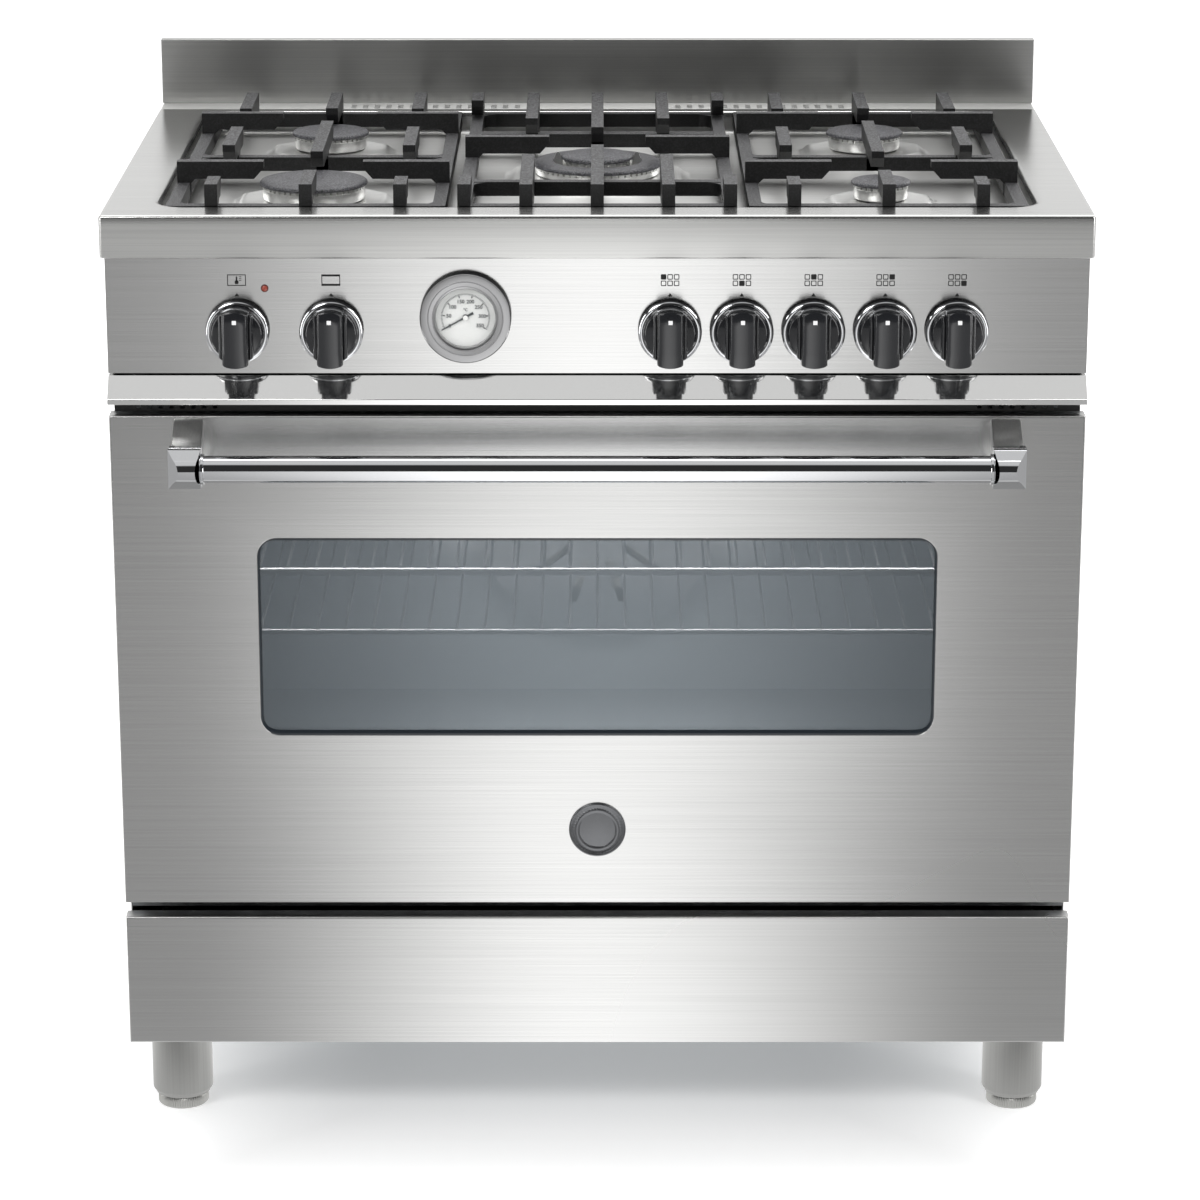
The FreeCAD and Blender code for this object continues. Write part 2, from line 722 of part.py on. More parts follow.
def convection():
    """Oven fan: motor behind the wall, bladed wheel and a slotted guard in front of it."""
    middle = CAVITY_MIDDLE
    guard = new_body("fan_guard")
    rim, depth, half_slot = size.guard_radius, size.guard_depth, length(4)
    floor, wall = depth - size.sheet, rim - size.sheet
    add_turning(guard, [(0, floor), (wall, floor), (wall, 0), (rim, 0), (rim, depth), (0, depth)])
    slot = cut_box(guard, (rim * 0.3, rim * 0.7), (-half_slot, half_slot), (floor - 1, depth + 1))
    pattern_round(guard, [slot], 10)
    put(guard, 0, CAVITY_REAR, middle, FACING_FRONT)
    keep(guard)
    wheel = new_body("convection_fan")
    back, plate, half_blade = length(6), 1.2, length(0.6)
    disc, front = back + plate, size.fan_depth + 2
    shaft, hub = size.fan_shaft_radius, size.fan_shaft_radius + 5
    bore = shaft + size.running_fit
    add_turning(wheel, [(bore, back), (size.fan_radius, back), (size.fan_radius, disc), (hub, disc),
                        (hub, front), (bore, front)])
    blade = add_box(wheel, (size.fan_radius * 0.55, size.fan_radius - 1), (-half_blade, half_blade),
                    (back, back + size.fan_depth))
    pattern_round(wheel, [blade], 8)
    put(wheel, 0, CAVITY_REAR, middle, FACING_FRONT)
    keep(wheel)
    motor = new_body("fan_motor")
    behind = size.insulation + size.sheet + 2
    add_cylinder(motor, size.motor_radius, size.motor_length, 0, 0, -behind - size.motor_length)
    add_cylinder(motor, shaft, behind + front, 0, 0, -behind)
    put(motor, 0, CAVITY_REAR, middle, FACING_FRONT)
    keep(motor)


# ---------------------------------------------------------------- door


WINDOW_MIDDLE = DOOR_TOP - size.window_drop - size.window_height / 2
HINGE_SLOT = size.hinge_arm_width + size.hinge_cheek * 4


def door_skin():
    """Outer door sheet with folded edges and a round-cornered window."""
    body = new_body("door_skin")
    back = FRONT + size.skin_depth
    add_box(body, (-HALF_BODY, HALF_BODY), (FRONT, back), (DOOR_BOTTOM, DOOR_TOP))
    round_edges(body, size.fold_radius, lambda edge: edge.BoundBox.YMax < FRONT.number + 0.01)
    cut_box(body, (-INSIDE, INSIDE), (FRONT + size.sheet, back + 1),
            (DOOR_BOTTOM + size.sheet, DOOR_TOP - size.sheet))
    half, notch = WINDOW_HALF, 12
    cut_box(body, (-half, half), (FRONT - 1, FRONT + size.sheet + 1),
            (WINDOW_MIDDLE - size.window_height / 2, WINDOW_MIDDLE + size.window_height / 2))
    round_edges(body, size.window_radius, lambda edge: runs_along(Y)(edge)
                and abs(abs(edge.CenterOfMass.x) - half.number) < 0.01)
    for side in EVERY_SIDE:
        middle = side * HINGE_X
        cut_box(body, (middle - HINGE_SLOT / 2, middle + HINGE_SLOT / 2),
                (back - notch, back + 1), (DOOR_BOTTOM - 1, DOOR_BOTTOM + size.sheet + 1))
    keep(body)


def door_inner_panel():
    """Pressed inner door sheet: a shallow tray that faces the oven and holds the inner glass."""
    body = new_body("door_inner_panel")
    front, back = FRONT + size.skin_depth, FRONT + size.door_depth
    margin = size.panel_margin
    half, low, high = HALF_BODY - margin, DOOR_BOTTOM + margin, DOOR_TOP - margin
    add_box(body, (-half, half), (front, back), (low, high))
    cut_box(body, (-half + size.sheet, half - size.sheet), (front - 1, back - size.sheet),
            (low + size.sheet, high - size.sheet))
    hole_x = WINDOW_HALF + size.inner_window_inset
    hole_z = size.window_height / 2 + size.inner_window_inset
    cut_box(body, (-hole_x, hole_x), (back - size.sheet - 1, back + 1),
            (WINDOW_MIDDLE - hole_z, WINDOW_MIDDLE + hole_z))
    slot_top = PIVOT_Z + size.hinge_arm_height / 2 + 6
    for side in EVERY_SIDE:
        middle = side * HINGE_X
        cut_box(body, (middle - HINGE_SLOT / 2, middle + HINGE_SLOT / 2),
                (front - 1, back + 1), (low - 1, slot_top))
    keep(body)


def door_glass(label, margin, y):
    """Flat toughened glass pane that covers the window with a margin all round."""
    body = new_body(label)
    half_x = WINDOW_HALF + margin
    half_z = size.window_height / 2 + margin
    add_box(body, (-half_x, half_x), (y, y + size.glass_thickness),
            (WINDOW_MIDDLE - half_z, WINDOW_MIDDLE + half_z))
    round_edges(body, size.glass_radius, runs_along(Y))
    keep(body)


def door_handle():
    """Chromed tube between two bevelled end blocks, each cast with its arm to the door."""
    height = DOOR_TOP - size.handle_drop
    axis_y = FRONT - size.handle_standoff
    tube = new_body("handle_tube")
    end = HALF_BODY - size.handle_inset
    reach = end - size.end_block_width
    add_cylinder(tube, size.handle_radius, reach * 2, -reach, axis_y, height, ALONG_X)
    keep(tube)
    brackets = []
    for side in EVERY_SIDE:
        bracket = new_body("handle_bracket")
        centre = side * (end - size.end_block_width / 2)
        half_w, half_h = size.end_block_width / 2, size.end_block_height / 2
        y = (axis_y - size.end_block_depth / 2, axis_y + size.end_block_depth / 2)
        add_box(bracket, (centre - half_w, centre + half_w), y, (height - half_h, height + half_h))
        round_edges(bracket, size.end_block_bevel,
                    lambda edge: edge.BoundBox.YMax < y[0].number + 0.01, "Chamfer")
        arm_w, arm_h = half_w - size.handle_arm_inset, size.handle_arm_height / 2
        add_box(bracket, (centre - arm_w, centre + arm_w), (y[1] - 1, FRONT),
                (height - arm_h, height + arm_h))
        brackets.append(bracket)
    keep(group("handle_brackets", brackets))


def hinge_pins():
    """Hinge pins, each held between the two cheeks of a bracket inside the door."""
    pins = []
    cheek = size.hinge_cheek
    inner = size.hinge_arm_width / 2 + cheek / 2
    outer = inner + cheek
    face = FRONT + size.sheet
    below, above, height, behind = 9, 12, 40, 8
    low, web, high = PIVOT_Z - below, PIVOT_Z + above, PIVOT_Z + height
    for side in EVERY_SIDE:
        middle = side * HINGE_X
        bracket = new_body("hinge_pin")
        add_cylinder(bracket, size.hinge_pin_radius, outer * 2, middle - outer, PIVOT_Y, PIVOT_Z, ALONG_X)
        for start in (middle - outer, middle + inner):
            add_box(bracket, (start, start + cheek), (face, PIVOT_Y + behind), (low, high))
        add_box(bracket, (middle - outer, middle + outer), (face, face + cheek), (web, high))
        pins.append(bracket)
    keep(group("hinge_pins", pins))


# ---------------------------------------------------------------- drawer


def drawer():
    """Storage drawer under the oven: a folded front on a sheet box that rides on the rails."""
    front = new_body("drawer_front")
    back = FRONT + size.drawer_front_depth
    add_box(front, (-HALF_BODY, HALF_BODY), (FRONT, back), (DRAWER_BOTTOM, DRAWER_TOP))
    round_edges(front, size.fold_radius, lambda edge: edge.BoundBox.YMax < FRONT.number + 0.01)
    cut_box(front, (-INSIDE, INSIDE), (FRONT + size.sheet, back + 1),
            (DRAWER_BOTTOM + size.sheet, DRAWER_TOP - size.sheet))
    keep(front)
    box = new_body("drawer_box")
    rail_inner = INSIDE - size.runner_inset - size.runner_width
    side_air, floor_air = 2, 4
    half = rail_inner - side_air
    low = BASE_FLOOR + floor_air
    high = low + size.drawer_wall_height
    rail_top = BASE_FLOOR + size.runner_height
    end = back + size.drawer_length
    add_box(box, (-half, half), (back, end), (low, high))
    cut_box(box, (-half + size.sheet, half - size.sheet), (back + size.sheet, end - size.sheet),
            (low + size.sheet, high + 1))
    for side in EVERY_SIDE:
        ledge_end = rail_inner + size.runner_width - 1
        ledge = sorted((side * half, side * ledge_end), key=lambda edge: edge.number)
        add_box(box, ledge, (back, end), (rail_top, rail_top + size.sheet))
    keep(box)


# ---------------------------------------------------------------- control panel

OVEN_KNOB_X = size.oven_knob_inset - HALF_BODY
OVEN_HEAT_X = OVEN_KNOB_X + size.oven_knob_pitch
LAST_KNOB_X = HALF_BODY - size.burner_knob_inset
KNOBS = {
    "knob_oven_mode": OVEN_KNOB_X,
    "knob_oven_heat": OVEN_HEAT_X,
    "knob_burner_rear_left": LAST_KNOB_X - size.burner_knob_pitch * 4,
    "knob_burner_front_left": LAST_KNOB_X - size.burner_knob_pitch * 3,
    "knob_burner_wok": LAST_KNOB_X - size.burner_knob_pitch * 2,
    "knob_burner_rear_right": LAST_KNOB_X - size.burner_knob_pitch,
    "knob_burner_front_right": LAST_KNOB_X,
}
GAUGE_X = OVEN_HEAT_X + size.gauge_offset
NEON_X = OVEN_KNOB_X + size.neon_offset
GAUGE_HEIGHT = PANEL_BOTTOM + size.gauge_rise
VALVE_FACE = PANEL_FACE + size.sheet + size.valve_air


def control_panel():
    """Folded stainless fascia with its shaft holes, the gauge hole and the neon hole."""
    body = new_body("control_panel")
    back = FRAME_FACE
    add_box(body, (-HALF_BODY, HALF_BODY), (PANEL_FACE, back), (PANEL_BOTTOM, HOB_BOTTOM))
    cut_box(body, (-INSIDE, INSIDE), (PANEL_FACE + size.sheet, back + 1),
            (PANEL_BOTTOM + size.sheet, HOB_BOTTOM - size.sheet))
    stem_air, gauge_air = 2, 3
    for x in KNOBS.values():
        cut_cylinder(body, size.stem_radius + stem_air, size.sheet + 2, x, PANEL_FACE - 1,
                     KNOB_HEIGHT, ALONG_Y)
    cut_cylinder(body, size.dial_radius + gauge_air, size.sheet + 2, GAUGE_X, PANEL_FACE - 1,
                 GAUGE_HEIGHT, ALONG_Y)
    cut_cylinder(body, size.neon_radius, size.sheet + 2, NEON_X, PANEL_FACE - 1,
                 PANEL_BOTTOM + size.neon_rise, ALONG_Y)
    keep(body)


def trim_ledge():
    """Polished moulding under the control panel, its face leaning out at 45 degrees."""
    body = new_body("trim_ledge")
    lip, lip_height = PANEL_FACE - size.ledge_reach, 5
    add_pad(body, [(PANEL_FACE, LEDGE_TOP), (lip, LEDGE_BOTTOM + lip_height), (lip, LEDGE_BOTTOM),
                   (FRAME_FACE, LEDGE_BOTTOM), (FRAME_FACE, LEDGE_TOP)],
            "YZ_Plane", HALF_BODY * 2, -HALF_BODY)
    wall = 2
    cut_box(body, (-INSIDE, INSIDE), (PANEL_FACE + wall, FRAME_FACE + 1),
            (LEDGE_BOTTOM - 1, LEDGE_TOP - wall))
    keep(body)


def vent_trim():
    """Black strip in the gap over the door, with a row of air slots near each end."""
    body = new_body("vent_trim")
    recess, lap, air = 3, 3, 1.5
    face, half, top = PANEL_FACE + recess, INSIDE - recess, LEDGE_BOTTOM + lap
    add_box(body, (-half, half), (face, face + size.sheet), (DOOR_TOP + air, top))
    add_box(body, (-half, half), (face, FRAME_FACE), (top - size.sheet, top))
    slot_width, slot_height, slot_air, row, margin = 4, 3, 4, length(70), 20
    for start in (margin - half, half - margin - row - slot_width):
        slot = cut_box(body, (start, start + slot_width), (face - 1, face + size.sheet + 1),
                       (DOOR_TOP + slot_air, DOOR_TOP + slot_air + slot_height))
        pattern_line(body, [slot], "X_Axis", row, 8)
    keep(body)


def knob(label, x):
    """Turned skirt and boss with a bar grip across it; it turns on its own spindle."""
    body = new_body(label)
    skirt, back = size.knob_radius, KNOB_BACK
    rim, boss_height, boss_slope = 3, 17, 5
    boss, grip, top = back + boss_height, size.grip_width / 2, back + size.knob_depth
    add_turning(body, [(0, back), (skirt, back), (skirt, back + rim),
                       (skirt - boss_slope, boss), (0, boss)])
    start = back + size.grip_back
    narrowing, low_inset, high_inset = 2, 2, 4
    narrow, low, high = grip - narrowing, low_inset - skirt, skirt - high_inset
    add_pad(body, [(-grip, low), (grip, low), (narrow, high), (-narrow, high)],
            "XY_Plane", top - start, start)
    cut_cylinder(body, size.stem_radius + size.running_fit, size.stem_grip, 0, 0, back)
    put(body, x, PANEL_FACE, KNOB_HEIGHT, FACING_FRONT)
    keep(body)


def controls():
    """Knobs, the stems that push in, the gas valves and the two oven switches."""
    for label, x in KNOBS.items():
        knob(label, x)
    valves, switches = [], []
    half, deep = size.valve_width / 2, size.valve_length
    broad, long = size.switch_width / 2, size.switch_length
    tip = KNOB_BACK + size.stem_grip
    for label, x in KNOBS.items():
        if "burner" in label:
            stem = new_body(label.replace("knob_burner", "stem"))
            add_cylinder(stem, size.stem_radius, tip + size.stem_reach)
            put(stem, x, PANEL_FACE + size.stem_reach, KNOB_HEIGHT, FACING_FRONT)
            keep(stem)
            valve = new_body("gas_valve")
            add_box(valve, (-half, half), (-half, half), (-deep, length(0)))
            cut_cylinder(valve, size.stem_radius + size.running_fit, size.stem_reach + 1, 0, 0,
                         -size.stem_reach)
            put(valve, x, VALVE_FACE, KNOB_HEIGHT, FACING_FRONT)
            valves.append(valve)
        else:
            switch = new_body("oven_switch")
            add_box(switch, (-broad, broad), (-broad, broad), (-long, length(0)))
            add_cylinder(switch, size.stem_radius, tip + size.sheet + size.valve_air)
            put(switch, x, VALVE_FACE, KNOB_HEIGHT, FACING_FRONT)
            switches.append(switch)
    keep(group("gas_valves", valves), group("oven_switches", switches))


def gas_manifold():
    """Gas rail behind the valves and its pipe to the threaded inlet at the rear."""
    body = new_body("gas_manifold")
    pipe = size.pipe_radius
    rail_y = VALVE_FACE + size.valve_length + pipe
    rail_margin = 30
    first = KNOBS["knob_burner_rear_left"] - rail_margin
    add_cylinder(body, pipe, INLET_X - first, first, rail_y, KNOB_HEIGHT, ALONG_X)
    add_cylinder(body, pipe, COVER_BACK - rail_y, INLET_X, rail_y, KNOB_HEIGHT, ALONG_Y)
    add_cylinder(body, size.inlet_radius, size.inlet_length, INLET_X, COVER_BACK, KNOB_HEIGHT, ALONG_Y)
    keep(body)


def gauge():
    """Oven thermometer: domed bezel, white dial, needle on a pivot and a flat glass."""
    def place(body, turn=FACING_FRONT):
        put(body, GAUGE_X, PANEL_FACE, GAUGE_HEIGHT, turn)
        keep(body)
    rim, dial, reach = size.gauge_radius, size.dial_radius, size.bezel_reach
    bore, collar, rim_height, slope, behind = dial + 1, dial + 2.5, 3, 4, -10
    bezel = new_body("gauge_bezel")
    add_turning(bezel, [(collar, behind), (collar, 0), (rim, 0), (rim, rim_height), (rim - slope, reach),
                        (bore, reach), (bore, behind)])
    place(bezel)
    dial_face, pivot, pivot_height = length(3), 1, 2
    face = new_body("gauge_dial")
    add_turning(face, [(0, behind), (bore, behind), (bore, dial_face), (0, dial_face)])
    add_cylinder(face, pivot, pivot_height, 0, 0, dial_face)
    place(face)
    needle = new_body("gauge_needle")
    tail, shoulder, tip, half_tail, half_shoulder, half_tip = -8, 4, dial - 6, 1.2, 0.8, 0.5
    add_pad(needle, [(-half_tail, tail), (half_tail, tail), (half_shoulder, shoulder), (half_tip, tip),
                     (-half_tip, tip), (-half_shoulder, shoulder)], "XY_Plane", size.play * 2,
            dial_face + size.play * 2)
    hub, hub_height = 2.6, 1.4
    add_cylinder(needle, hub, hub_height, 0, 0, dial_face + size.play)
    cut_cylinder(needle, pivot + size.running_fit, hub_height * 2, 0, 0, dial_face)
    place(needle, FACING_FRONT.multiply(FreeCAD.Rotation(Z, size.needle_rest.number)))
    glass_air, thickness = 3, 2
    glass = new_body("gauge_glass")
    add_cylinder(glass, bore, thickness, 0, 0, dial_face + glass_air)
    place(glass)
    lens_depth, lens_edge, lens_top = -6, 1, 2
    lens = new_body("neon_lens")
    add_turning(lens, [(0, lens_depth), (size.neon_radius, lens_depth), (size.neon_radius, lens_edge),
                       (0, lens_top)])
    put(lens, NEON_X, PANEL_FACE, PANEL_BOTTOM + size.neon_rise, FACING_FRONT)
    keep(lens)


# ---------------------------------------------------------------- hob

BURNERS = {
    "rear_left": (-BURNER_X, WELL_MIDDLE + size.burner_spread, size.medium_cap, 16),
    "front_left": (-BURNER_X, WELL_MIDDLE - size.burner_spread, size.rapid_cap, 20),
    "wok": (length(0), WELL_MIDDLE, size.wok_ring, 24),
    "rear_right": (BURNER_X, WELL_MIDDLE + size.burner_spread, size.medium_cap, 16),
    "front_right": (BURNER_X, WELL_MIDDLE - size.burner_spread, size.small_cap, 12),
}


def hob_top():
    """Pressed stainless hob: folded fascia, sunk well with a raised dish under every burner."""
    body = new_body("hob_top")
    half, wall, edge_radius, hem_width = size.hob_width / 2, size.sheet, 3, 14
    add_box(body, (-half, half), (HOB_FRONT, REAR), (HOB_BOTTOM, HOB_TOP))
    round_edges(body, edge_radius, lambda edge: runs_along(Z)(edge)
                or edge.BoundBox.ZMin > HOB_TOP.number - 0.01)
    cut_box(body, (-half + wall, half - wall), (HOB_FRONT + wall, REAR - wall),
            (HOB_BOTTOM + wall, HOB_TOP - wall))
    hem = wall + hem_width
    cut_box(body, (-half + hem, half - hem), (HOB_FRONT + hem, REAR - hem),
            (HOB_BOTTOM - 1, HOB_BOTTOM + wall + 1))
    add_box(body, (-WELL_HALF - wall, WELL_HALF + wall), (WELL_FRONT - wall, WELL_BACK + wall),
            (WELL_FLOOR - wall, HOB_TOP - wall / 2))
    cut_box(body, (-WELL_HALF, WELL_HALF), (WELL_FRONT, WELL_BACK), (WELL_FLOOR, HOB_TOP + 1))
    inside = WELL_HALF.number + 0.01
    round_edges(body, size.well_radius, lambda edge: runs_along(Z)(edge)
                and abs(edge.CenterOfMass.x) < inside and edge.BoundBox.ZMax > HOB_TOP.number - 0.01)
    corner_share, dish_draft, cup_air = 0.42, -30, 0.5
    for x, y, radius, ports in BURNERS.values():
        reach = radius + size.dish_margin
        corner = reach * corner_share
        add_pad(body, [(x - corner, y - reach), (x + corner, y - reach), (x + reach, y - corner),
                       (x + reach, y + corner), (x + corner, y + reach), (x - corner, y + reach),
                       (x - reach, y + corner), (x - reach, y - corner)],
                "XY_Plane", size.dish_height, WELL_FLOOR, dish_draft)
    for x, y, radius, ports in BURNERS.values():
        cut_cylinder(body, radius - size.cup_inset + cup_air, size.dish_height + wall * 4, x, y,
                     WELL_FLOOR - wall * 2)
    slot_front = WELL_BACK + size.vent_back
    for start in (-size.vent_inner - size.vent_row - size.vent_slot_width, size.vent_inner):
        slot = cut_box(body, (start, start + size.vent_slot_width),
                       (slot_front, slot_front + size.vent_slot_length), (HOB_TOP - wall - 1, HOB_TOP + 1))
        row = pattern_line(body, [slot], "X_Axis", size.vent_row, 15)
        bind(row, Occurrences=size.vent_slots)
    keep(body)


def backsplash():
    """Upstand along the hob's rear edge, folded forward at its top."""
    body = new_body("backsplash")
    half, wall = size.hob_width / 2, size.sheet
    high = HOB_TOP + size.backsplash_height
    add_box(body, (-half, half), (REAR - size.backsplash_fold, REAR), (HOB_TOP, high))
    cut_box(body, (-half + wall, half - wall), (REAR - size.backsplash_fold + wall, REAR + 1),
            (HOB_TOP - 1, high - wall))
    keep(body)


def burner_ring(inner, outer, low, high, ports, x, y):
    """Aluminium flame ring with a row of ports round its upper edge."""
    ring = new_body("flame_ring")
    foot_inset, port_depth = 2, 5
    add_turning(ring, [(inner, low), (outer - foot_inset, low), (outer, low + size.port_height),
                       (outer, high), (inner, high)])
    half = size.port_width / 2
    port = cut_box(ring, (outer - port_depth, outer + 1), (-half, half),
                   (high - size.port_height, high + 1))
    pattern_round(ring, [port], ports)
    return put(ring, x, y, 0)


def burner_cap(inner, radius, low, thickness, x, y):
    """Enamelled cap, a flat disc or ring with a bevelled rim."""
    cap = new_body("burner_cap")
    high, bevel_height, bevel_width = low + thickness, 1.5, 2
    add_turning(cap, [(inner, low), (radius, low), (radius, high - bevel_height),
                      (radius - bevel_width, high), (inner, high)])
    return put(cap, x, y, 0)


def burners():
    """Burner cups under the hob, slotted flame rings on it and enamelled caps on those."""
    cups, rings, caps = [], [], []
    none, core_ports = length(0), 12
    low = WELL_FLOOR - size.sheet - size.cup_depth
    for label, (x, y, radius, ports) in BURNERS.items():
        cup = new_body("burner_cup")
        add_cylinder(cup, radius - size.cup_inset, DISH_TOP - low, 0, 0, low)
        cups.append(put(cup, x, y, 0))
        wok = label == "wok"
        inner = size.wok_ring_hole if wok else none
        cap_base = DISH_TOP + size.spreader_height - (size.wok_drop if wok else none)
        rings.append(burner_ring(inner, radius - size.cap_lap, DISH_TOP, cap_base, ports, x, y))
        caps.append(burner_cap(inner, radius, cap_base, size.cap_thickness, x, y))
    x, y, radius, ports = BURNERS["wok"]
    core = DISH_TOP + size.spreader_height
    rings.append(burner_ring(none, size.wok_cap - size.cap_lap, DISH_TOP, core, core_ports, x, y))
    caps.append(burner_cap(none, size.wok_cap, core, size.cap_thickness, x, y))
    keep(group("burner_cups", cups), group("flame_rings", rings), group("burner_caps", caps))


def bar_profile(start, end, posts, bar_low, bar_high, high, under, tip):
    """Side view of a raised grate finger from start to end, standing on posts.

    Both ends are cut back at 45 degrees underneath, except where a post ends flush with them.
    """
    corners = [(start, high), (end, high)]
    slope = high - under - tip
    if (posts[-1][1].number - end.number) > -0.01:
        corners += [(end, bar_low)]
    else:
        corners += [(end, high - tip), (end - slope, under), (posts[-1][1] + size.arm_flare, under),
                    (posts[-1][1], bar_high - 1), (posts[-1][1], bar_low)]
    corners += [(posts[-1][0], bar_low)]
    if (start.number - posts[0][0].number) > -0.01:
        return corners
    corners += [(posts[0][0], bar_high - 1), (posts[0][0] - size.arm_flare, under),
                (start + slope, under), (start, high - tip)]
    return corners


def grate(label, x_low, x_high, cross_bars, arm_rows, fingers):
    """Cast-iron grate: a ring with cross bars in the well, and raised arms and fingers on it.

    cross_bars lists the middle lines of the bars that run side to side;
    arm_rows lists (y, length) of the side arms that point at a burner from both sides;
    fingers lists (x, start y, end y) of the fingers that run front to back.
    """
    body = new_body(label)
    bar, half_bar = size.grate_bar, size.grate_bar / 2
    high, under, tip = HOB_TOP + size.grate_top, HOB_TOP + size.arm_rise, size.arm_tip
    ring_low, ring_high = HOB_TOP - size.grate_bar_height, HOB_TOP
    add_box(body, (x_low, x_high), (GRATE_FRONT, GRATE_BACK), (ring_low, ring_high))
    round_edges(body, bar, runs_along(Z))
    rails = [GRATE_FRONT + half_bar, *cross_bars, GRATE_BACK - half_bar]
    for near, far in zip(rails, rails[1:]):
        cut_box(body, (x_low + bar, x_high - bar), (near + half_bar, far - half_bar),
                (ring_low - 1, ring_high + 1))
    for x, start, end in fingers:
        posts = [(rail - half_bar, rail + half_bar) for rail in rails
                 if start.number < rail.number < end.number]
        add_pad(body, bar_profile(start, end, posts, ring_low, ring_high, high, under, tip),
                "YZ_Plane", bar, x - half_bar)
    for y, reach in arm_rows:
        for begin, finish, post in ((x_low, x_low + reach, (x_low, x_low + bar)),
                                    (x_high - reach, x_high, (x_high - bar, x_high))):
            profile = bar_profile(begin, finish, [post], ring_low, ring_high, high, under, tip)
            add_pad(body, profile, "XZ_Plane", bar, -(y + half_bar))
    for x in (x_low + bar, x_high - bar):
        for y in (GRATE_FRONT + bar, GRATE_BACK - bar):
            add_cylinder(body, size.grate_foot_radius, size.grate_foot, x, y, WELL_FLOOR)
    keep(body)


def grates():
    """Three grates side by side: one over each pair of burners and one over the wok burner."""
    near, far = WELL_MIDDLE - size.burner_spread, WELL_MIDDLE + size.burner_spread
    gap, reach = size.tip_gap, size.middle_finger / 2
    for label, side in (("grate_left", -1), ("grate_right", 1)):
        inner, outer = side * SIDE_INNER, side * SIDE_OUTER
        limits = (outer, inner) if side < 0 else (inner, outer)
        x = side * BURNER_X
        arm = (SIDE_OUTER - SIDE_INNER) / 2 - gap
        fingers = [(x, GRATE_FRONT, near - gap), (x, near + gap, far - gap),
                   (x, far + size.rear_tip_gap, GRATE_BACK)]
        for wing in (x - size.finger_spread, x + size.finger_spread):
            fingers += [(wing, GRATE_FRONT, GRATE_FRONT + size.front_finger),
                        (wing, WELL_MIDDLE - reach, WELL_MIDDLE + reach),
                        (wing, GRATE_BACK - size.rear_finger, GRATE_BACK)]
        grate(label, *limits, [WELL_MIDDLE], [(near, arm), (far, arm)], fingers)
    half, middle = CENTRE_HALF, length(0)
    fingers = [(middle, GRATE_FRONT, WELL_MIDDLE - gap), (middle, WELL_MIDDLE + gap, GRATE_BACK)]
    for side in EVERY_SIDE:
        wing, rim = side * size.wok_finger_spread, side * (half - size.grate_bar / 2)
        fingers += [(wing, GRATE_FRONT, WELL_MIDDLE - size.wok_finger_gap),
                    (wing, WELL_MIDDLE + size.wok_finger_gap, GRATE_BACK),
                    (rim, GRATE_FRONT, GRATE_FRONT + size.corner_finger),
                    (rim, GRATE_BACK - size.corner_finger, GRATE_BACK)]
    bars = [WELL_MIDDLE - size.wok_bar_spread, WELL_MIDDLE + size.wok_bar_spread]
    grate("grate_centre", -half, half, bars, [(WELL_MIDDLE, half - gap)], fingers)


# ---------------------------------------------------------------- build and write

base_pan()
side_panel("side_panel_left", -1)
side_panel("side_panel_right", 1)
front_frame()
rear_cover()
legs()
oven_liner()
insulation()
door_seal()
rack_guides()
oven_rack("oven_rack_lower", 3)
oven_rack("oven_rack_upper", 4)
grill_element()
convection()
door_skin()
door_inner_panel()
door_glass("door_glass_outer", size.glass_overlap, FRONT + size.sheet)
door_glass("door_glass_inner", size.inner_window_inset + size.glass_overlap,
           FRONT + size.door_depth - size.sheet - size.glass_thickness)
door_handle()
hinge_pins()
drawer()
control_panel()
trim_ledge()
vent_trim()
controls()
gas_manifold()
gauge()
hob_top()
backsplash()
burners()
grates()
doc.recompute()

for item in doc.Objects:
    if "Invalid" in item.State or "Error" in item.State:
        raise RuntimeError(f"{item.Label} failed: {item.State}")
os.makedirs("parts", exist_ok=True)
for node in NODES:
    shape = node.Shape
    if shape.isNull() or not shape.isValid():
        raise RuntimeError(f"{node.Label} has no valid shape")
    shape.exportStep(f"parts/{node.Label}.step")
print(f"{len(NODES)} nodes written")
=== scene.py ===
"""Looks of a 900 mm freestanding gas range in brushed stainless steel.

Metres; +Z up, the oven door faces -Y, the origin is on the floor under the middle.
"""
import json
import math

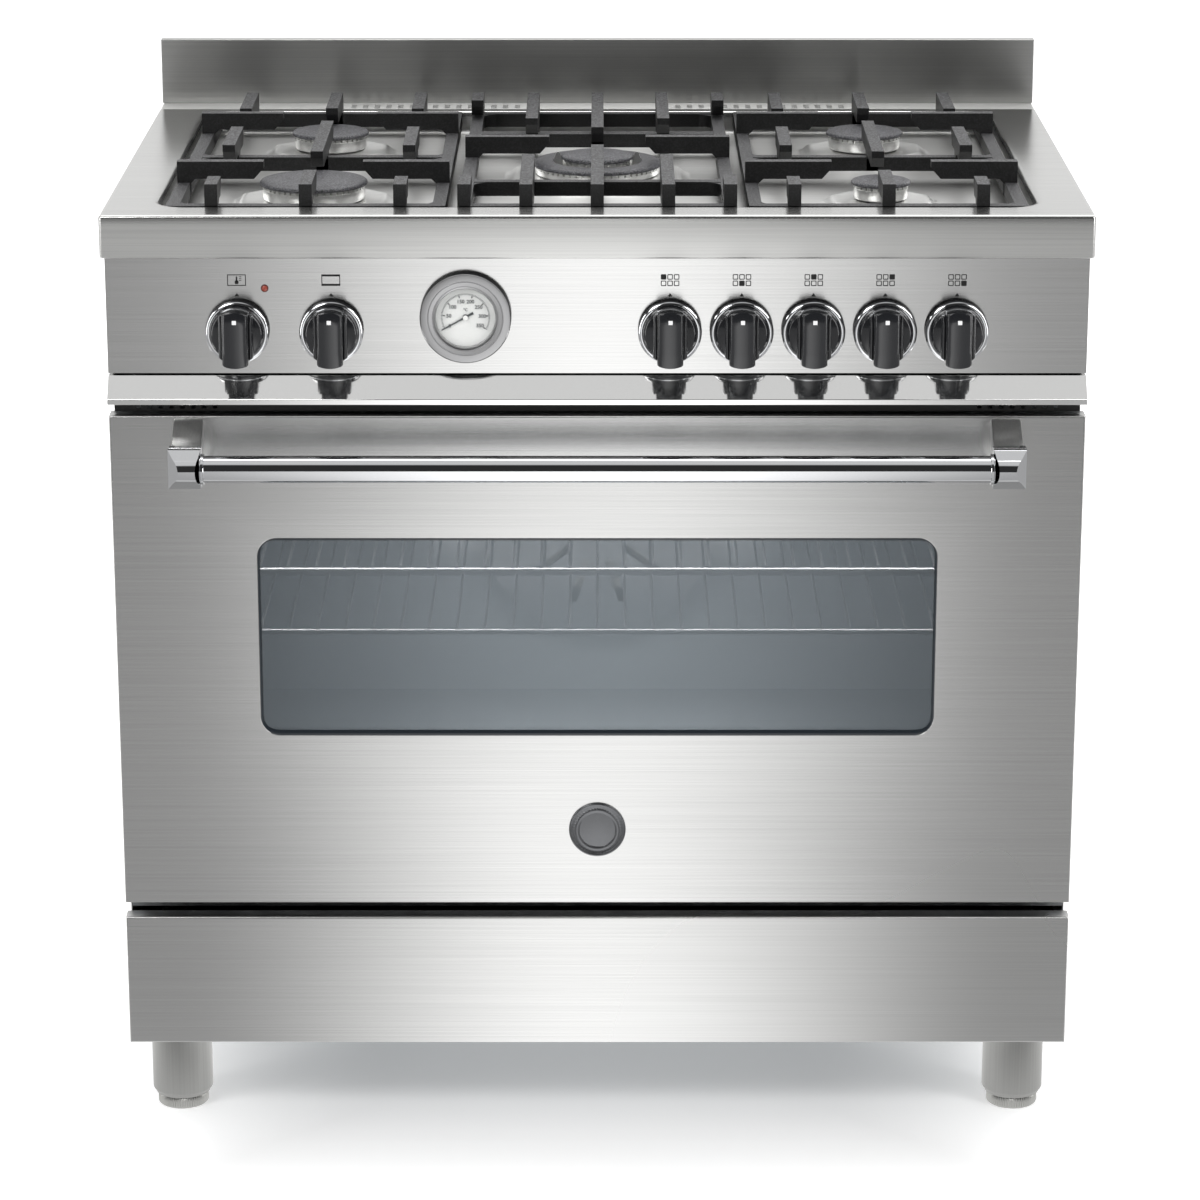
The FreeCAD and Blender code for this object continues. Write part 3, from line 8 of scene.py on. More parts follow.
import bmesh
import bpy
import numpy as np
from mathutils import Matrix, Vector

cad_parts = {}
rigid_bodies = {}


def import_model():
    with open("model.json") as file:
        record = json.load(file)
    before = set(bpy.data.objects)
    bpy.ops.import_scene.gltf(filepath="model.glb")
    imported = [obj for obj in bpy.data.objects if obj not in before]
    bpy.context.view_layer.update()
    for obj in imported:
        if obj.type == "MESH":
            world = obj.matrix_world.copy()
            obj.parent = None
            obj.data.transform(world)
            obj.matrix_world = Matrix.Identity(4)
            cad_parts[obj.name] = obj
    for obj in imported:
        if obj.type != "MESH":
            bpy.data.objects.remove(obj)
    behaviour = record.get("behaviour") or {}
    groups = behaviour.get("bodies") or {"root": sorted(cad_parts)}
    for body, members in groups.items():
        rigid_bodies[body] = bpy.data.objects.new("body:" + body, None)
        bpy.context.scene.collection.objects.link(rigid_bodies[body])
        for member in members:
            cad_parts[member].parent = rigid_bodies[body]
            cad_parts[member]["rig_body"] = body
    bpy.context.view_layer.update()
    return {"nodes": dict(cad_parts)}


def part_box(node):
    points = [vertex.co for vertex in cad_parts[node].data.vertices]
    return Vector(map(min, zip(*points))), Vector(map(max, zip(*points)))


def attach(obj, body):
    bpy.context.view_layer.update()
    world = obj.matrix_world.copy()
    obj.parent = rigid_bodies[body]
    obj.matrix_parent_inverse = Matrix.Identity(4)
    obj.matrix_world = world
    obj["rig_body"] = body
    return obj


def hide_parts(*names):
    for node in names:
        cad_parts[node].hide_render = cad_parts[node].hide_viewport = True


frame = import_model()
nodes = frame["nodes"]
MM = 0.001

# ---------------------------------------------------------------- camera
# A long lens four metres in front of the range and well above it, pitched down, so that the
# grates are seen from above while the door is still seen from the front.

VIEW_SIDE, VIEW_DISTANCE, VIEW_HEIGHT, VIEW_PITCH = 0.0025, 3.981, 1.633, 16.6
SENSOR_WIDTH, LENS_LENGTH, FARTHEST_SEEN = 36, 125.9, 50
lens = bpy.data.cameras.new("camera")
lens.sensor_width, lens.lens, lens.clip_end = SENSOR_WIDTH, LENS_LENGTH, FARTHEST_SEEN
camera = bpy.data.objects.new("camera", lens)
camera.location = (VIEW_SIDE, -VIEW_DISTANCE, VIEW_HEIGHT)
camera.rotation_euler = (math.radians(90 - VIEW_PITCH), 0, 0)
bpy.context.collection.objects.link(camera)
bpy.context.scene.camera = camera
bpy.context.scene.view_settings.view_transform = "Standard"

# ---------------------------------------------------------------- studio
# A white floor that runs back out of sight, a white surround and large soft boxes. Gloss
# sees the surround brighter behind the range and overhead, and dim on the viewer's side.


def linear(hex_colour):
    """Turn an sRGB hex colour into linear RGBA."""
    parts = np.array([int(hex_colour[i:i + 2], 16) for i in (1, 3, 5)]) / 255
    parts = np.where(parts <= 0.04045, parts / 12.92, ((parts + 0.055) / 1.055) ** 2.4)
    return (*parts.tolist(), 1.0)


def add_node(tree, kind, inputs=None, **settings):
    """Add a shader node; inputs gives values, or other nodes' outputs, for its sockets."""
    item = tree.nodes.new("ShaderNode" + kind)
    for name, value in settings.items():
        setattr(item, name, value)
    for name, value in (inputs or {}).items():
        if isinstance(value, bpy.types.NodeSocket):
            tree.links.new(value, item.inputs[name])
        else:
            item.inputs[name].default_value = value
    return item


def new_material(name):
    """Start a material with an empty node tree and return both."""
    finish = bpy.data.materials.new(name)
    finish.use_nodes = True
    finish.node_tree.nodes.clear()
    return finish, finish.node_tree


world = bpy.data.worlds.new("surround")
bpy.context.scene.world = world
world.use_nodes = True
tree = world.node_tree
tree.nodes.clear()
where = add_node(tree, "TexCoord")
split = add_node(tree, "SeparateXYZ", {0: where.outputs["Generated"]})
behind_set = add_node(tree, "MapRange", {"Value": split.outputs["Y"], "From Min": -0.45, "From Max": 0.15,
                                         "To Min": 0.03, "To Max": 0.82}, interpolation_type="SMOOTHSTEP")
overhead = add_node(tree, "MapRange", {"Value": split.outputs["Z"], "From Min": 0.72, "From Max": 0.86,
                                       "To Min": 0.0, "To Max": 0.66}, interpolation_type="SMOOTHSTEP")
mirror_view = add_node(tree, "Math", {0: behind_set.outputs[0], 1: overhead.outputs[0]},
                       operation="MAXIMUM")
path = add_node(tree, "LightPath")
glossy = add_node(tree, "Mix", {"Factor": path.outputs["Is Glossy Ray"], "A": 0.62,
                                "B": mirror_view.outputs[0]}, data_type="FLOAT")
behind = add_node(tree, "Math", {0: path.outputs["Is Camera Ray"],
                                 1: path.outputs["Is Transmission Ray"]}, operation="MAXIMUM")
strength = add_node(tree, "Mix", {"Factor": behind.outputs[0], "A": glossy.outputs[0], "B": 1.0},
                    data_type="FLOAT")
room = add_node(tree, "Background", {"Color": (1, 1, 1, 1), "Strength": strength.outputs[0]})
add_node(tree, "OutputWorld", {"Surface": room.outputs[0]})


def soft_box(name, place, target, size, power):
    """Hang a soft rectangular lamp of size (width, height) metres and power watts, facing a target."""
    lamp = bpy.data.lights.new(name, "AREA")
    lamp.shape = "RECTANGLE"
    lamp.size, lamp.size_y = size
    lamp.energy = power
    item = bpy.data.objects.new(name, lamp)
    item.location = place
    aim = np.array(target) - np.array(place)
    flat = math.hypot(aim[0], aim[1])
    item.rotation_euler = (math.atan2(flat, -aim[2]), 0, math.atan2(-aim[0], aim[1]))
    bpy.context.collection.objects.link(item)


for name, place, target, size, power in (
        ("key", (-1.9, -3.0, 3.2), (0, 0, 0.6), (1.4, 1.4), 42),
        ("fill", (2.4, -2.6, 2.6), (0, 0, 0.6), (1.4, 1.4), 26),
        ("strip_left", (-2.3, -1.7, 1.0), (0, -0.3, 0.7), (0.5, 1.8), 13),
        ("strip_right", (2.3, -1.7, 1.0), (0, -0.3, 0.7), (0.5, 1.8), 13),
        ("top", (0.2, 0.9, 3.4), (0, 0, 0.8), (2.2, 2.2), 28),
        ("back_left", (-2.4, 2.8, 2.4), (0, 0, 0.6), (1.4, 1.4), 26),
        ("back_right", (2.4, 2.8, 2.4), (0, 0, 0.6), (1.4, 1.4), 26)):
    soft_box(name, place, target, size, power)

FLOOR_EDGE = 12
floor_corners = [(x * FLOOR_EDGE, y * FLOOR_EDGE, 0) for x, y in ((-1, -1), (1, -1), (1, 1), (-1, 1))]
floor_mesh = bpy.data.meshes.new("floor")
floor_mesh.from_pydata(floor_corners, [], [(0, 1, 2, 3)])
studio_floor = bpy.data.objects.new("floor", floor_mesh)
bpy.context.collection.objects.link(studio_floor)

# White paper: flat and without shine. It holds the range's shadow and, to the camera, glows more the
# farther it lies from the range: a painted glow that fades it to white away from the range and leaves
# a painted shadow near and under it. It throws light up at the steel, most of it along the four sides of
# the range.
paper, tree = new_material("white paper sweep")
where = add_node(tree, "TexCoord")
reach = add_node(tree, "VectorMath", {0: where.outputs["Object"]}, operation="ABSOLUTE")
axes = add_node(tree, "SeparateXYZ", {0: reach.outputs[0]})
nearest = add_node(tree, "Math", {0: axes.outputs["X"], 1: axes.outputs["Y"]}, operation="MINIMUM")
farthest = add_node(tree, "Math", {0: axes.outputs["X"], 1: axes.outputs["Y"]}, operation="MAXIMUM")
spread = add_node(tree, "Math", {0: farthest.outputs[0], 1: 3.4}, operation="ADD")
wedge = add_node(tree, "Math", {0: nearest.outputs[0], 1: spread.outputs[0]}, operation="DIVIDE")
pool = add_node(tree, "MapRange", {"Value": wedge.outputs[0], "From Min": 0.0, "From Max": 0.115,
                                   "To Min": 1.0, "To Max": 0.0}, interpolation_type="SMOOTHSTEP")
power = add_node(tree, "MapRange", {"Value": pool.outputs[0], "To Min": 0.42, "To Max": 1.65})
base = add_node(tree, "BsdfDiffuse", {"Color": linear("#f2f2f2")})
path = add_node(tree, "LightPath")
glow = add_node(tree, "Emission", {"Color": (1, 1, 1, 1), "Strength": power.outputs[0]})
# Painted glow seen by the camera: none near the range, so the floor round it stays dark as a painted
# shadow, rising to white farther out.
painted_glow_away = add_node(tree, "MapRange", {"Value": farthest.outputs[0], "From Min": 0.2, "From Max": 0.7,
                                   "To Min": 0.0, "To Max": 0.9}, interpolation_type="SMOOTHSTEP")
lift = add_node(tree, "Emission", {"Color": (1, 1, 1, 1), "Strength": painted_glow_away.outputs[0]})
lifted = add_node(tree, "AddShader", {0: base.outputs[0], 1: lift.outputs[0]})
seen = add_node(tree, "MixShader", {0: path.outputs["Is Camera Ray"], 1: glow.outputs[0],
                                    2: lifted.outputs[0]})
add_node(tree, "OutputMaterial", {"Surface": seen.outputs[0]})
studio_floor.data.materials.append(paper)

# ---------------------------------------------------------------- sheet-metal body
# Side panels of stainless sheet, brushed in one direction and folded, hooked over a chassis
# of galvanised sheet that is pressed and spot-welded.


def brushed_steel(name, hex_colour, roughness=0.26, streak=(3.0, 900.0, 900.0), depth=0.035,
                  grain_turn=0.25, dulled=()):
    """Brushed stainless steel: a fine grain spreads reflections across itself as faint streaks.

    streak gives the pattern's repeats per metre along x, y, z: about 1 mm across the grain, ten
    times as coarse as the real scratches, so that they show. depth is theirs in mm. Patches half
    a metre wide vary the polish a little, as handling does.
    dulled lists (axis, from, to, roughness): the sheet turns duller between two heights or depths.
    """
    finish, tree = new_material(name)
    where = add_node(tree, "TexCoord")
    stretch = add_node(tree, "Mapping", {0: where.outputs["Object"], "Scale": streak})
    grain = add_node(tree, "TexNoise", {"Vector": stretch.outputs[0], "Scale": 1.0, "Detail": 3.0,
                                        "Roughness": 0.6})
    broad = add_node(tree, "TexNoise", {"Vector": where.outputs["Object"], "Scale": 2.2, "Detail": 1.0})
    tone = add_node(tree, "MapRange", {"Value": grain.outputs[0], "From Min": 0.25, "From Max": 0.75,
                                       "To Min": 0.90, "To Max": 1.04})
    shade = add_node(tree, "VectorMath", {0: linear(hex_colour)[:3], "Scale": tone.outputs[0]},
                     operation="SCALE")
    rough = add_node(tree, "MapRange", {"Value": broad.outputs[0], "From Min": 0.1, "From Max": 0.9,
                                        "To Min": roughness - 0.03, "To Max": roughness + 0.03},
                     interpolation_type="SMOOTHSTEP")
    for axis, start, stop, dull in dulled:
        axes = add_node(tree, "SeparateXYZ", {0: where.outputs["Object"]})
        rough = add_node(tree, "MapRange", {"Value": axes.outputs[axis], "From Min": start * MM,
                                            "From Max": stop * MM, "To Min": rough.outputs[0],
                                            "To Max": dull})
    bump = add_node(tree, "Bump", {"Strength": 0.5, "Distance": depth * MM, "Height": grain.outputs[0]})
    steel = add_node(tree, "BsdfPrincipled", {"Base Color": shade.outputs[0], "Metallic": 1.0,
                                              "Roughness": rough.outputs[0], "Normal": bump.outputs[0],
                                              "Anisotropic": 0.6, "Anisotropic Rotation": grain_turn})
    add_node(tree, "OutputMaterial", {"Surface": steel.outputs[0]})
    return finish


def dress(finish, *names):
    """Give a finish to CAD nodes."""
    for name in names:
        nodes[name].data.materials.clear()
        nodes[name].data.materials.append(finish)


def welded(name, finish, edge=0.4, sharp=30):
    """Stand in for a CAD node: its triangles joined, its flat faces merged, its edges rounded.

    edge is the rounding in mm, and edges sharper than sharp degrees stay crisp.
    """
    source = nodes[name]
    points, corners = np.zeros(len(source.data.vertices) * 3), np.zeros(len(source.data.loops), int)
    source.data.vertices.foreach_get("co", points)
    source.data.loops.foreach_get("vertex_index", corners)
    mesh = bpy.data.meshes.new(f"{name}_sheet")
    mesh.from_pydata(points.reshape(-1, 3).tolist(), [], corners.reshape(-1, 3).tolist())
    shell = bmesh.new()
    shell.from_mesh(mesh)
    bmesh.ops.remove_doubles(shell, verts=shell.verts, dist=2e-6)
    bmesh.ops.dissolve_limit(shell, angle_limit=math.radians(0.5), verts=shell.verts, edges=shell.edges)
    shell.to_mesh(mesh)
    shell.free()
    facing = np.zeros(len(mesh.polygons) * 3)
    mesh.polygons.foreach_get("normal", facing)
    square_on = np.abs(facing.reshape(-1, 3)).max(1) > 0.9995
    mesh.polygons.foreach_set("use_smooth", ~square_on)
    mesh.set_sharp_from_angle(angle=math.radians(sharp))
    mesh.materials.append(finish)
    item = bpy.data.objects.new(f"{name}_sheet", mesh)
    bpy.context.collection.objects.link(item)
    if edge:
        fold = item.modifiers.new("folded_edge", "BEVEL")
        fold.width, fold.segments, fold.limit_method = edge * MM, 2, "ANGLE"
        fold.angle_limit = math.radians(40)
    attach(item, source["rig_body"])
    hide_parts(name)


# Door and drawer: level streaks that smear the room into soft bands up and down.
front_steel = brushed_steel("brushed stainless, grain across", "#cfcfce")
# Sides: a little darker, streaked from front to back.
side_steel = brushed_steel("brushed stainless, grain front to back", "#c4c4c3",
                           streak=(900.0, 3.0, 900.0), grain_turn=0.0)
for name in ("side_panel_left", "side_panel_right"):
    welded(name, side_steel)


def galvanised(name, hex_colour):
    """Hot-dip galvanised sheet: dull grey zinc with crystals about 12 mm across, light and dark."""
    finish, tree = new_material(name)
    where = add_node(tree, "TexCoord")
    spangle = add_node(tree, "TexVoronoi", {"Vector": where.outputs["Object"], "Scale": 80.0})
    tone = add_node(tree, "MapRange", {"Value": spangle.outputs["Color"], "To Min": 0.82, "To Max": 1.05})
    shade = add_node(tree, "VectorMath", {0: linear(hex_colour)[:3], "Scale": tone.outputs[0]},
                     operation="SCALE")
    rough = add_node(tree, "MapRange", {"Value": spangle.outputs["Color"], "To Min": 0.38, "To Max": 0.52})
    zinc = add_node(tree, "BsdfPrincipled", {"Base Color": shade.outputs[0], "Metallic": 1.0,
                                             "Roughness": rough.outputs[0]})
    add_node(tree, "OutputMaterial", {"Surface": zinc.outputs[0]})
    return finish


# Chassis sheet: bluish grey, its crystals plain to see on the rear cover.
zinc_sheet = galvanised("galvanised sheet", "#a9acae")
dress(zinc_sheet, "base_pan", "front_frame", "rear_cover", "drawer_box")
# Small fittings: the same zinc, a shade darker and warmer.
zinc_plate = galvanised("zinc plated steel", "#9c9d9a")
dress(zinc_plate, "hinge_pins", "gas_manifold", "burner_cups", "fan_motor", "convection_fan")

# ---------------------------------------------------------------- legs
# Four lengths of brushed steel tube, crimped at the foot and bolted to the base pan. A foot
# turned from zinc-plated steel screws into each; its rim is knurled to be turned by hand.


def box_mm(name):
    """Lowest and highest corner of a CAD node's box, in mm."""
    return tuple(np.array(corner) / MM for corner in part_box(name))


def middle_of(name):
    """Middle of a CAD node's box, in mm."""
    low, high = box_mm(name)
    return (low + high) / 2


def plain(name, hex_colour, metallic=0.0, roughness=0.4, grit=0.0, size=0.3, **extra):
    """An even finish with a faint grit; grit is its depth and size its width, in mm."""
    finish, tree = new_material(name)
    where = add_node(tree, "TexCoord")
    speck = add_node(tree, "TexNoise", {"Vector": where.outputs["Object"], "Scale": 1000 / size,
                                        "Detail": 2.0})
    tone = add_node(tree, "MapRange", {"Value": speck.outputs[0], "From Min": 0.3, "From Max": 0.7,
                                       "To Min": 0.93, "To Max": 1.07})
    shade = add_node(tree, "VectorMath", {0: linear(hex_colour)[:3], "Scale": tone.outputs[0]},
                     operation="SCALE")
    bump = add_node(tree, "Bump", {"Strength": 1.0, "Distance": grit * MM, "Height": speck.outputs[0]})
    body = add_node(tree, "BsdfPrincipled", {"Base Color": shade.outputs[0], "Metallic": metallic,
                                             "Roughness": roughness, "Normal": bump.outputs[0], **extra})
    add_node(tree, "OutputMaterial", {"Surface": body.outputs[0]})
    return finish


def grid_faces(rows, columns, ring=False, ends=None):
    """Quads between neighbouring points of a grid.

    ring closes its columns on themselves. ends is "capped" for a flat face on the first and the
    last row, or "joined" where the last row meets the first.
    """
    row, column = np.meshgrid(np.arange(rows - 1), np.arange(columns if ring else columns - 1),
                              indexing="ij")
    after = (column + 1) % columns
    corners = [row * columns + column, row * columns + after,
               (row + 1) * columns + after, (row + 1) * columns + column]
    faces = np.stack(corners, -1).reshape(-1, 4).tolist()
    first = np.arange(columns)
    last = (rows - 1) * columns + first
    if ends == "capped":
        faces += [first[::-1].tolist(), last.tolist()]
    if ends == "joined":
        faces += np.stack([last, np.roll(last, -1), np.roll(first, -1), first], -1).tolist()
    return faces


def turned(profile, steps=64, swell=None):
    """Surface of revolution about +Z: each (radius, height) of the profile becomes a ring.

    A ring's points are (radius cos a, radius sin a, height) for steps equal angles a. A profile
    that starts or ends at radius 0 closes in a single point there; otherwise it is a closed
    outline and its last ring joins its first. swell(angle, radius, height) is added to the
    radius to cut notches and knurls.
    """
    profile = np.asarray(profile, float)
    poles = profile[[0, -1], 0] == 0
    inner = profile[int(poles[0]):len(profile) - int(poles[1])]
    angle = np.arange(steps) * 2 * np.pi / steps
    spread = np.repeat(inner[:, :1], steps, 1)
    if swell is not None:
        spread = spread + swell(angle[None, :], inner[:, :1], inner[:, 1:])
    points = np.stack([spread * np.cos(angle), spread * np.sin(angle),
                       np.repeat(inner[:, 1:], steps, 1)], -1).reshape(-1, 3)
    faces = grid_faces(len(inner), steps, ring=True, ends=None if poles.any() else "joined")
    first = np.arange(steps)
    last = (len(inner) - 1) * steps + first
    if poles[0]:
        faces += np.stack([np.full(steps, len(points)), np.roll(first, -1), first], -1).tolist()
        points = np.vstack([points, [[0, 0, profile[0, 1]]]])
    if poles[1]:
        faces += np.stack([np.full(steps, len(points)), last, np.roll(last, -1)], -1).tolist()
        points = np.vstack([points, [[0, 0, profile[-1, 1]]]])
    return points, faces


def moved(shell, x=0.0, y=0.0, z=0.0):
    """The shell with x, y, z added to each of its points."""
    points, faces = shell
    return points + np.array([x, y, z]), faces


def add_piece(name, shells, finish, body, slot, *replaced, smooth=True, sharp=35, closed=True):
    """Join shells given in mm into one piece that rides on a body.

    Each shell's faces count on from the points of the shells before it.
    """
    points, faces, start = [], [], 0
    for shell_points, shell_faces in shells:
        points.append(shell_points)
        ends = np.cumsum([len(face) for face in shell_faces])
        corners = np.concatenate(shell_faces) + start
        faces += [face.tolist() for face in np.split(corners, ends[:-1])]
        start += len(shell_points)
    mesh = bpy.data.meshes.new(name)
    mesh.from_pydata((np.vstack(points) * MM).tolist(), [], faces)
    if closed:
        shell = bmesh.new()
        shell.from_mesh(mesh)
        bmesh.ops.recalc_face_normals(shell, faces=shell.faces)
        shell.to_mesh(mesh)
        shell.free()
    mesh.update()
    if smooth:
        mesh.polygons.foreach_set("use_smooth", np.ones(len(mesh.polygons), bool))
        mesh.set_sharp_from_angle(angle=math.radians(sharp))
    mesh.materials.append(finish)
    item = bpy.data.objects.new(name, mesh)
    bpy.context.collection.objects.link(item)
    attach(item, body)
    if replaced:
        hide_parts(*replaced)
    return item


RIM_FROM, RIBS, RIB_DEPTH = 23, 60, 0.35


def knurl(angle, radius, height):
    """Fine ribs round the rim of a foot: the radius dips by a cosine, only on the outer band."""
    return np.where(radius > RIM_FROM, RIB_DEPTH * (np.cos(angle * RIBS) - 1), 0.0)


# Tube: streaks along it and a rougher polish than the sheets, so it shades softly round.
# Its colour is darker than the sheets': painted shade for the dimmer light low under the range.
leg_steel = brushed_steel("brushed tube", "#a4a4a2", 0.42, (900.0, 900.0, 3.0), grain_turn=0.0)
# Foot: pale satin zinc, with the fine unevenness that plating leaves.
foot_zinc = plain("satin zinc plated foot", "#b0b0ad", metallic=1.0, roughness=0.36, grit=0.01, size=0.6)
FOOT_PROFILE = [(0, 0), (22.6, 0), (23.6, 0.6), (24.3, 1.6), (24.3, 9.4), (23.6, 10.6), (21, 11.3),
                (21, 12), (6, 12), (6, 74), (0, 74)]
LEG_PROFILE = [(6.4, 86), (29, 86), (29, 17.5), (28.6, 16.2), (27.0, 14.6), (26.4, 13.4), (26.2, 12.2),
               (6.4, 12.2)]
legs = []
for corner in ("front_left", "front_right", "rear_left", "rear_right"):
    x, y = middle_of(f"foot_{corner}")[:2]
    legs.append(moved(turned(LEG_PROFILE, 128), x, y))
    add_piece(f"foot_{corner}_turned", [moved(turned(FOOT_PROFILE, 360, knurl), x, y)], foot_zinc,
              f"foot_{corner}", "zinc_steel", f"foot_{corner}")
add_piece("leg_tubes_turned", legs, leg_steel, "cabinet", "brushed_side", "leg_tubes")

# ---------------------------------------------------------------- oven
# A liner of steel sheet fired with grey enamel, wrapped in mineral wool. Chromed wire shelves
# slide on wire ladders hooked to its sides; a grill tube and a fan behind a guard heat it.

# Grey enamel: glassy, with the slight orange-peel of fired glaze.
dress(plain("grey vitreous enamel", "#74797d", roughness=0.22, grit=0.015, size=1.2), "oven_liner")
dress(plain("mid grey vitreous enamel", "#575b5f", roughness=0.3, grit=0.015, size=1.2), "fan_guard")
# Dark enamel on the door's inner sheet: nearly black, glossier still.
dress(plain("dark vitreous enamel", "#2b2d30", roughness=0.18, grit=0.015, size=1.2), "door_inner_panel")
# Mineral wool: straw-coloured, matt and tufted.
dress(plain("mineral wool", "#b9ae8c", roughness=0.95, grit=0.8, size=1.5), "insulation")
# Seal of woven glass yarn: dark, matt, with stitches about a millimetre wide.
dress(plain("woven glass rope", "#3a3a3a", roughness=0.9, grit=0.5, size=1.0), "door_seal")
# Heating tube: steel browned by its own heat.
sheath = plain("heat-tinted element sheath", "#4a4541", metallic=1.0, roughness=0.42, grit=0.02, size=0.8)
dress(sheath, "grill_element")
# Shelf wire: chrome that has gone from mirror to a soft grey sheen in the heat.
dulled_chrome = plain("chromed wire dulled by heat", "#a9aaac", metallic=1.0, roughness=0.34)
dress(dulled_chrome, "rack_guides")
oven_low, oven_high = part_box("oven_liner")
soft_box("oven_lamp", (0, -0.17, oven_high.z - 0.05), (0, -0.02, oven_low.z), (0.72, 0.10), 3.8)
soft_box("oven_glow", (0, 0.02, oven_low.z + 0.13), (0, 0.2, oven_low.z + 0.02), (0.36, 0.05), 0.7)


def skinned(loops, ends):
    """Closed skin through a row of loops with equal numbers of points, its ends capped or joined."""
    loops = np.asarray(loops, float)
    return loops.reshape(-1, 3), grid_faces(len(loops), loops.shape[1], ring=True, ends=ends)


def rod_along(path, radius, sides=12):
    """Round rod along a path: point + radius (cos a across + sin a other), both square to the path."""
    path = np.asarray(path, float)
    along = np.gradient(path, axis=0)
    along /= np.linalg.norm(along, axis=1, keepdims=True)
    guide = np.array([0.0, 0.0, 1.0]) if abs(along[0, 2]) < 0.9 else np.array([1.0, 0.0, 0.0])
    across = np.cross(along, guide)
    across /= np.linalg.norm(across, axis=1, keepdims=True)
    other = np.cross(along, across)
    angle = (np.arange(sides) * 2 * np.pi / sides)[None, :, None]
    return skinned(path[:, None] + radius * (across[:, None] * np.cos(angle)
                                             + other[:, None] * np.sin(angle)), "capped")


def rectangle(u, v):
    """Corners of a rectangle from u[0] to u[1] and v[0] to v[1], anticlockwise."""
    return [(u[0], v[0]), (u[1], v[0]), (u[1], v[1]), (u[0], v[1])]


def corner_path(points, radius, steps=6):
    """Closed path whose corners are rounded, each by a quadratic curve.

    For t from 0 to 1 it is (1 - t)^2 start + 2 t (1 - t) corner + t^2 end, with start and end
    on the corner's two sides, one radius away from it.
    """
    points = np.asarray(points, float)
    before, after = np.roll(points, 1, 0) - points, np.roll(points, -1, 0) - points
    before /= np.linalg.norm(before, axis=1, keepdims=True)
    after /= np.linalg.norm(after, axis=1, keepdims=True)
    share = np.linspace(0, 1, steps)[None, :, None]
    start, finish = points + before * radius, points + after * radius
    bend = ((1 - share) ** 2 * start[:, None] + 2 * share * (1 - share) * points[:, None]
            + share ** 2 * finish[:, None])
    return bend.reshape(-1, points.shape[1])


FRAME_WIRE, CROSS_WIRE, WIRE_COUNT, WIRE_LIFT, RACK_CORNER = 3, 1.4, 27, 4.2, 18
for level in ("lower", "upper"):
    low, high = box_mm(f"oven_rack_{level}")
    z = low[2] + FRAME_WIRE
    sides = rectangle((low[0] + FRAME_WIRE, high[0] - FRAME_WIRE),
                      (low[1] + FRAME_WIRE, high[1] - FRAME_WIRE))
    loop = corner_path([(x, y, z) for x, y in sides], RACK_CORNER)
    brace = [(low[0] + FRAME_WIRE, 0, z), (high[0] - FRAME_WIRE, 0, z)]
    shells = [rod_along(np.vstack([loop, loop[:1]]), FRAME_WIRE), rod_along(brace, FRAME_WIRE)]
    for x in np.linspace(low[0] + 22, high[0] - 22, WIRE_COUNT):
        wire = [(x, low[1] + 2, z + WIRE_LIFT), (x, high[1] - 2, z + WIRE_LIFT)]
        shells.append(rod_along(wire, CROSS_WIRE, 8))
    add_piece(f"oven_rack_{level}_wires", shells, dulled_chrome, f"rack_{level}", "wire_chrome",
              f"oven_rack_{level}")

# ---------------------------------------------------------------- door
# A brushed skin with folded edges. Its window is toughened glass with a metal coating, held
# behind the sheet by a black edge; a chromed tube handle stands off on two cast end blocks.

welded("door_skin", front_steel, 0.5)


def coated_glass(name, hex_colour, alpha, metallic, roughness):
    """Glass whose alpha is the share it reflects; the rest is seen through it, a little hazed."""
    finish, tree = new_material(name)
    where = add_node(tree, "TexCoord")
    haze = add_node(tree, "TexNoise", {"Vector": where.outputs["Object"], "Scale": 6.0})
    rough = add_node(tree, "MapRange", {"Value": haze.outputs[0], "To Min": roughness * 0.8,
                                        "To Max": roughness * 1.2})
    glass = add_node(tree, "BsdfPrincipled", {"Base Color": linear(hex_colour), "Metallic": metallic,
                                              "Roughness": rough.outputs[0], "Alpha": alpha})
    add_node(tree, "OutputMaterial", {"Surface": glass.outputs[0]})
    return finish


# Outer pane: half a grey mirror, half a dim view of the shelves.
outer_glass = coated_glass("grey coated oven glass", "#6e757a", alpha=0.5, metallic=1.0, roughness=0.24)
dress(outer_glass, "door_glass_outer")
# Clear glass: all but invisible, with a small sharp gloss.
clear_glass = coated_glass("clear glass", "#dfe6e8", alpha=0.06, metallic=0.0, roughness=0.03)
dress(clear_glass, "door_glass_inner")

glass_low, glass_high = box_mm("door_glass_outer")
skin_low, skin_high = box_mm("door_skin")
LAP, SKIN_FACE, DOOR_TOP, WINDOW_RADIUS = 14.0, skin_low[1], skin_high[2], 18.0
window_x, window_z = glass_high[0] - LAP, (glass_low[2] + LAP, glass_high[2] - LAP)


def upright(outline, y):
    """Stand a flat outline up at one depth: its second axis becomes height."""
    return np.column_stack([outline[:, 0], np.full(len(outline), y), outline[:, 1]])


def window_loop(inset, y, drop=0.0):
    """Rounded rectangle round the window, set in from its edge; drop widens the lower side."""
    sides = rectangle((inset - window_x, window_x - inset),
                      (window_z[0] + inset + drop, window_z[1] - inset))
    return upright(corner_path(sides, max(WINDOW_RADIUS - inset, 3), 9), SKIN_FACE + y)


# Black print round the pane: as glossy as the glass over it.
rim_black = plain("black edge print under glass", "#23282d", roughness=0.12)
rim = [window_loop(-0.6, 1.5), window_loop(-0.05, 0.35), window_loop(0.5, 0.3),
       window_loop(1.8, 1.0, 2.2), window_loop(2.4, 1.5, 2.6)]
add_piece("window_rim", [skinned(rim, "joined")], rim_black, "door", "trim_black")


def facing_front(shell, x, y, z):
    """Turn a shell's own +Z towards the front, by (x, y, z) to (x, -z, y), and set it on a point."""
    points, faces = shell
    return np.stack([points[:, 0], -points[:, 2], points[:, 1]], -1) + np.array([x, y, z]), faces


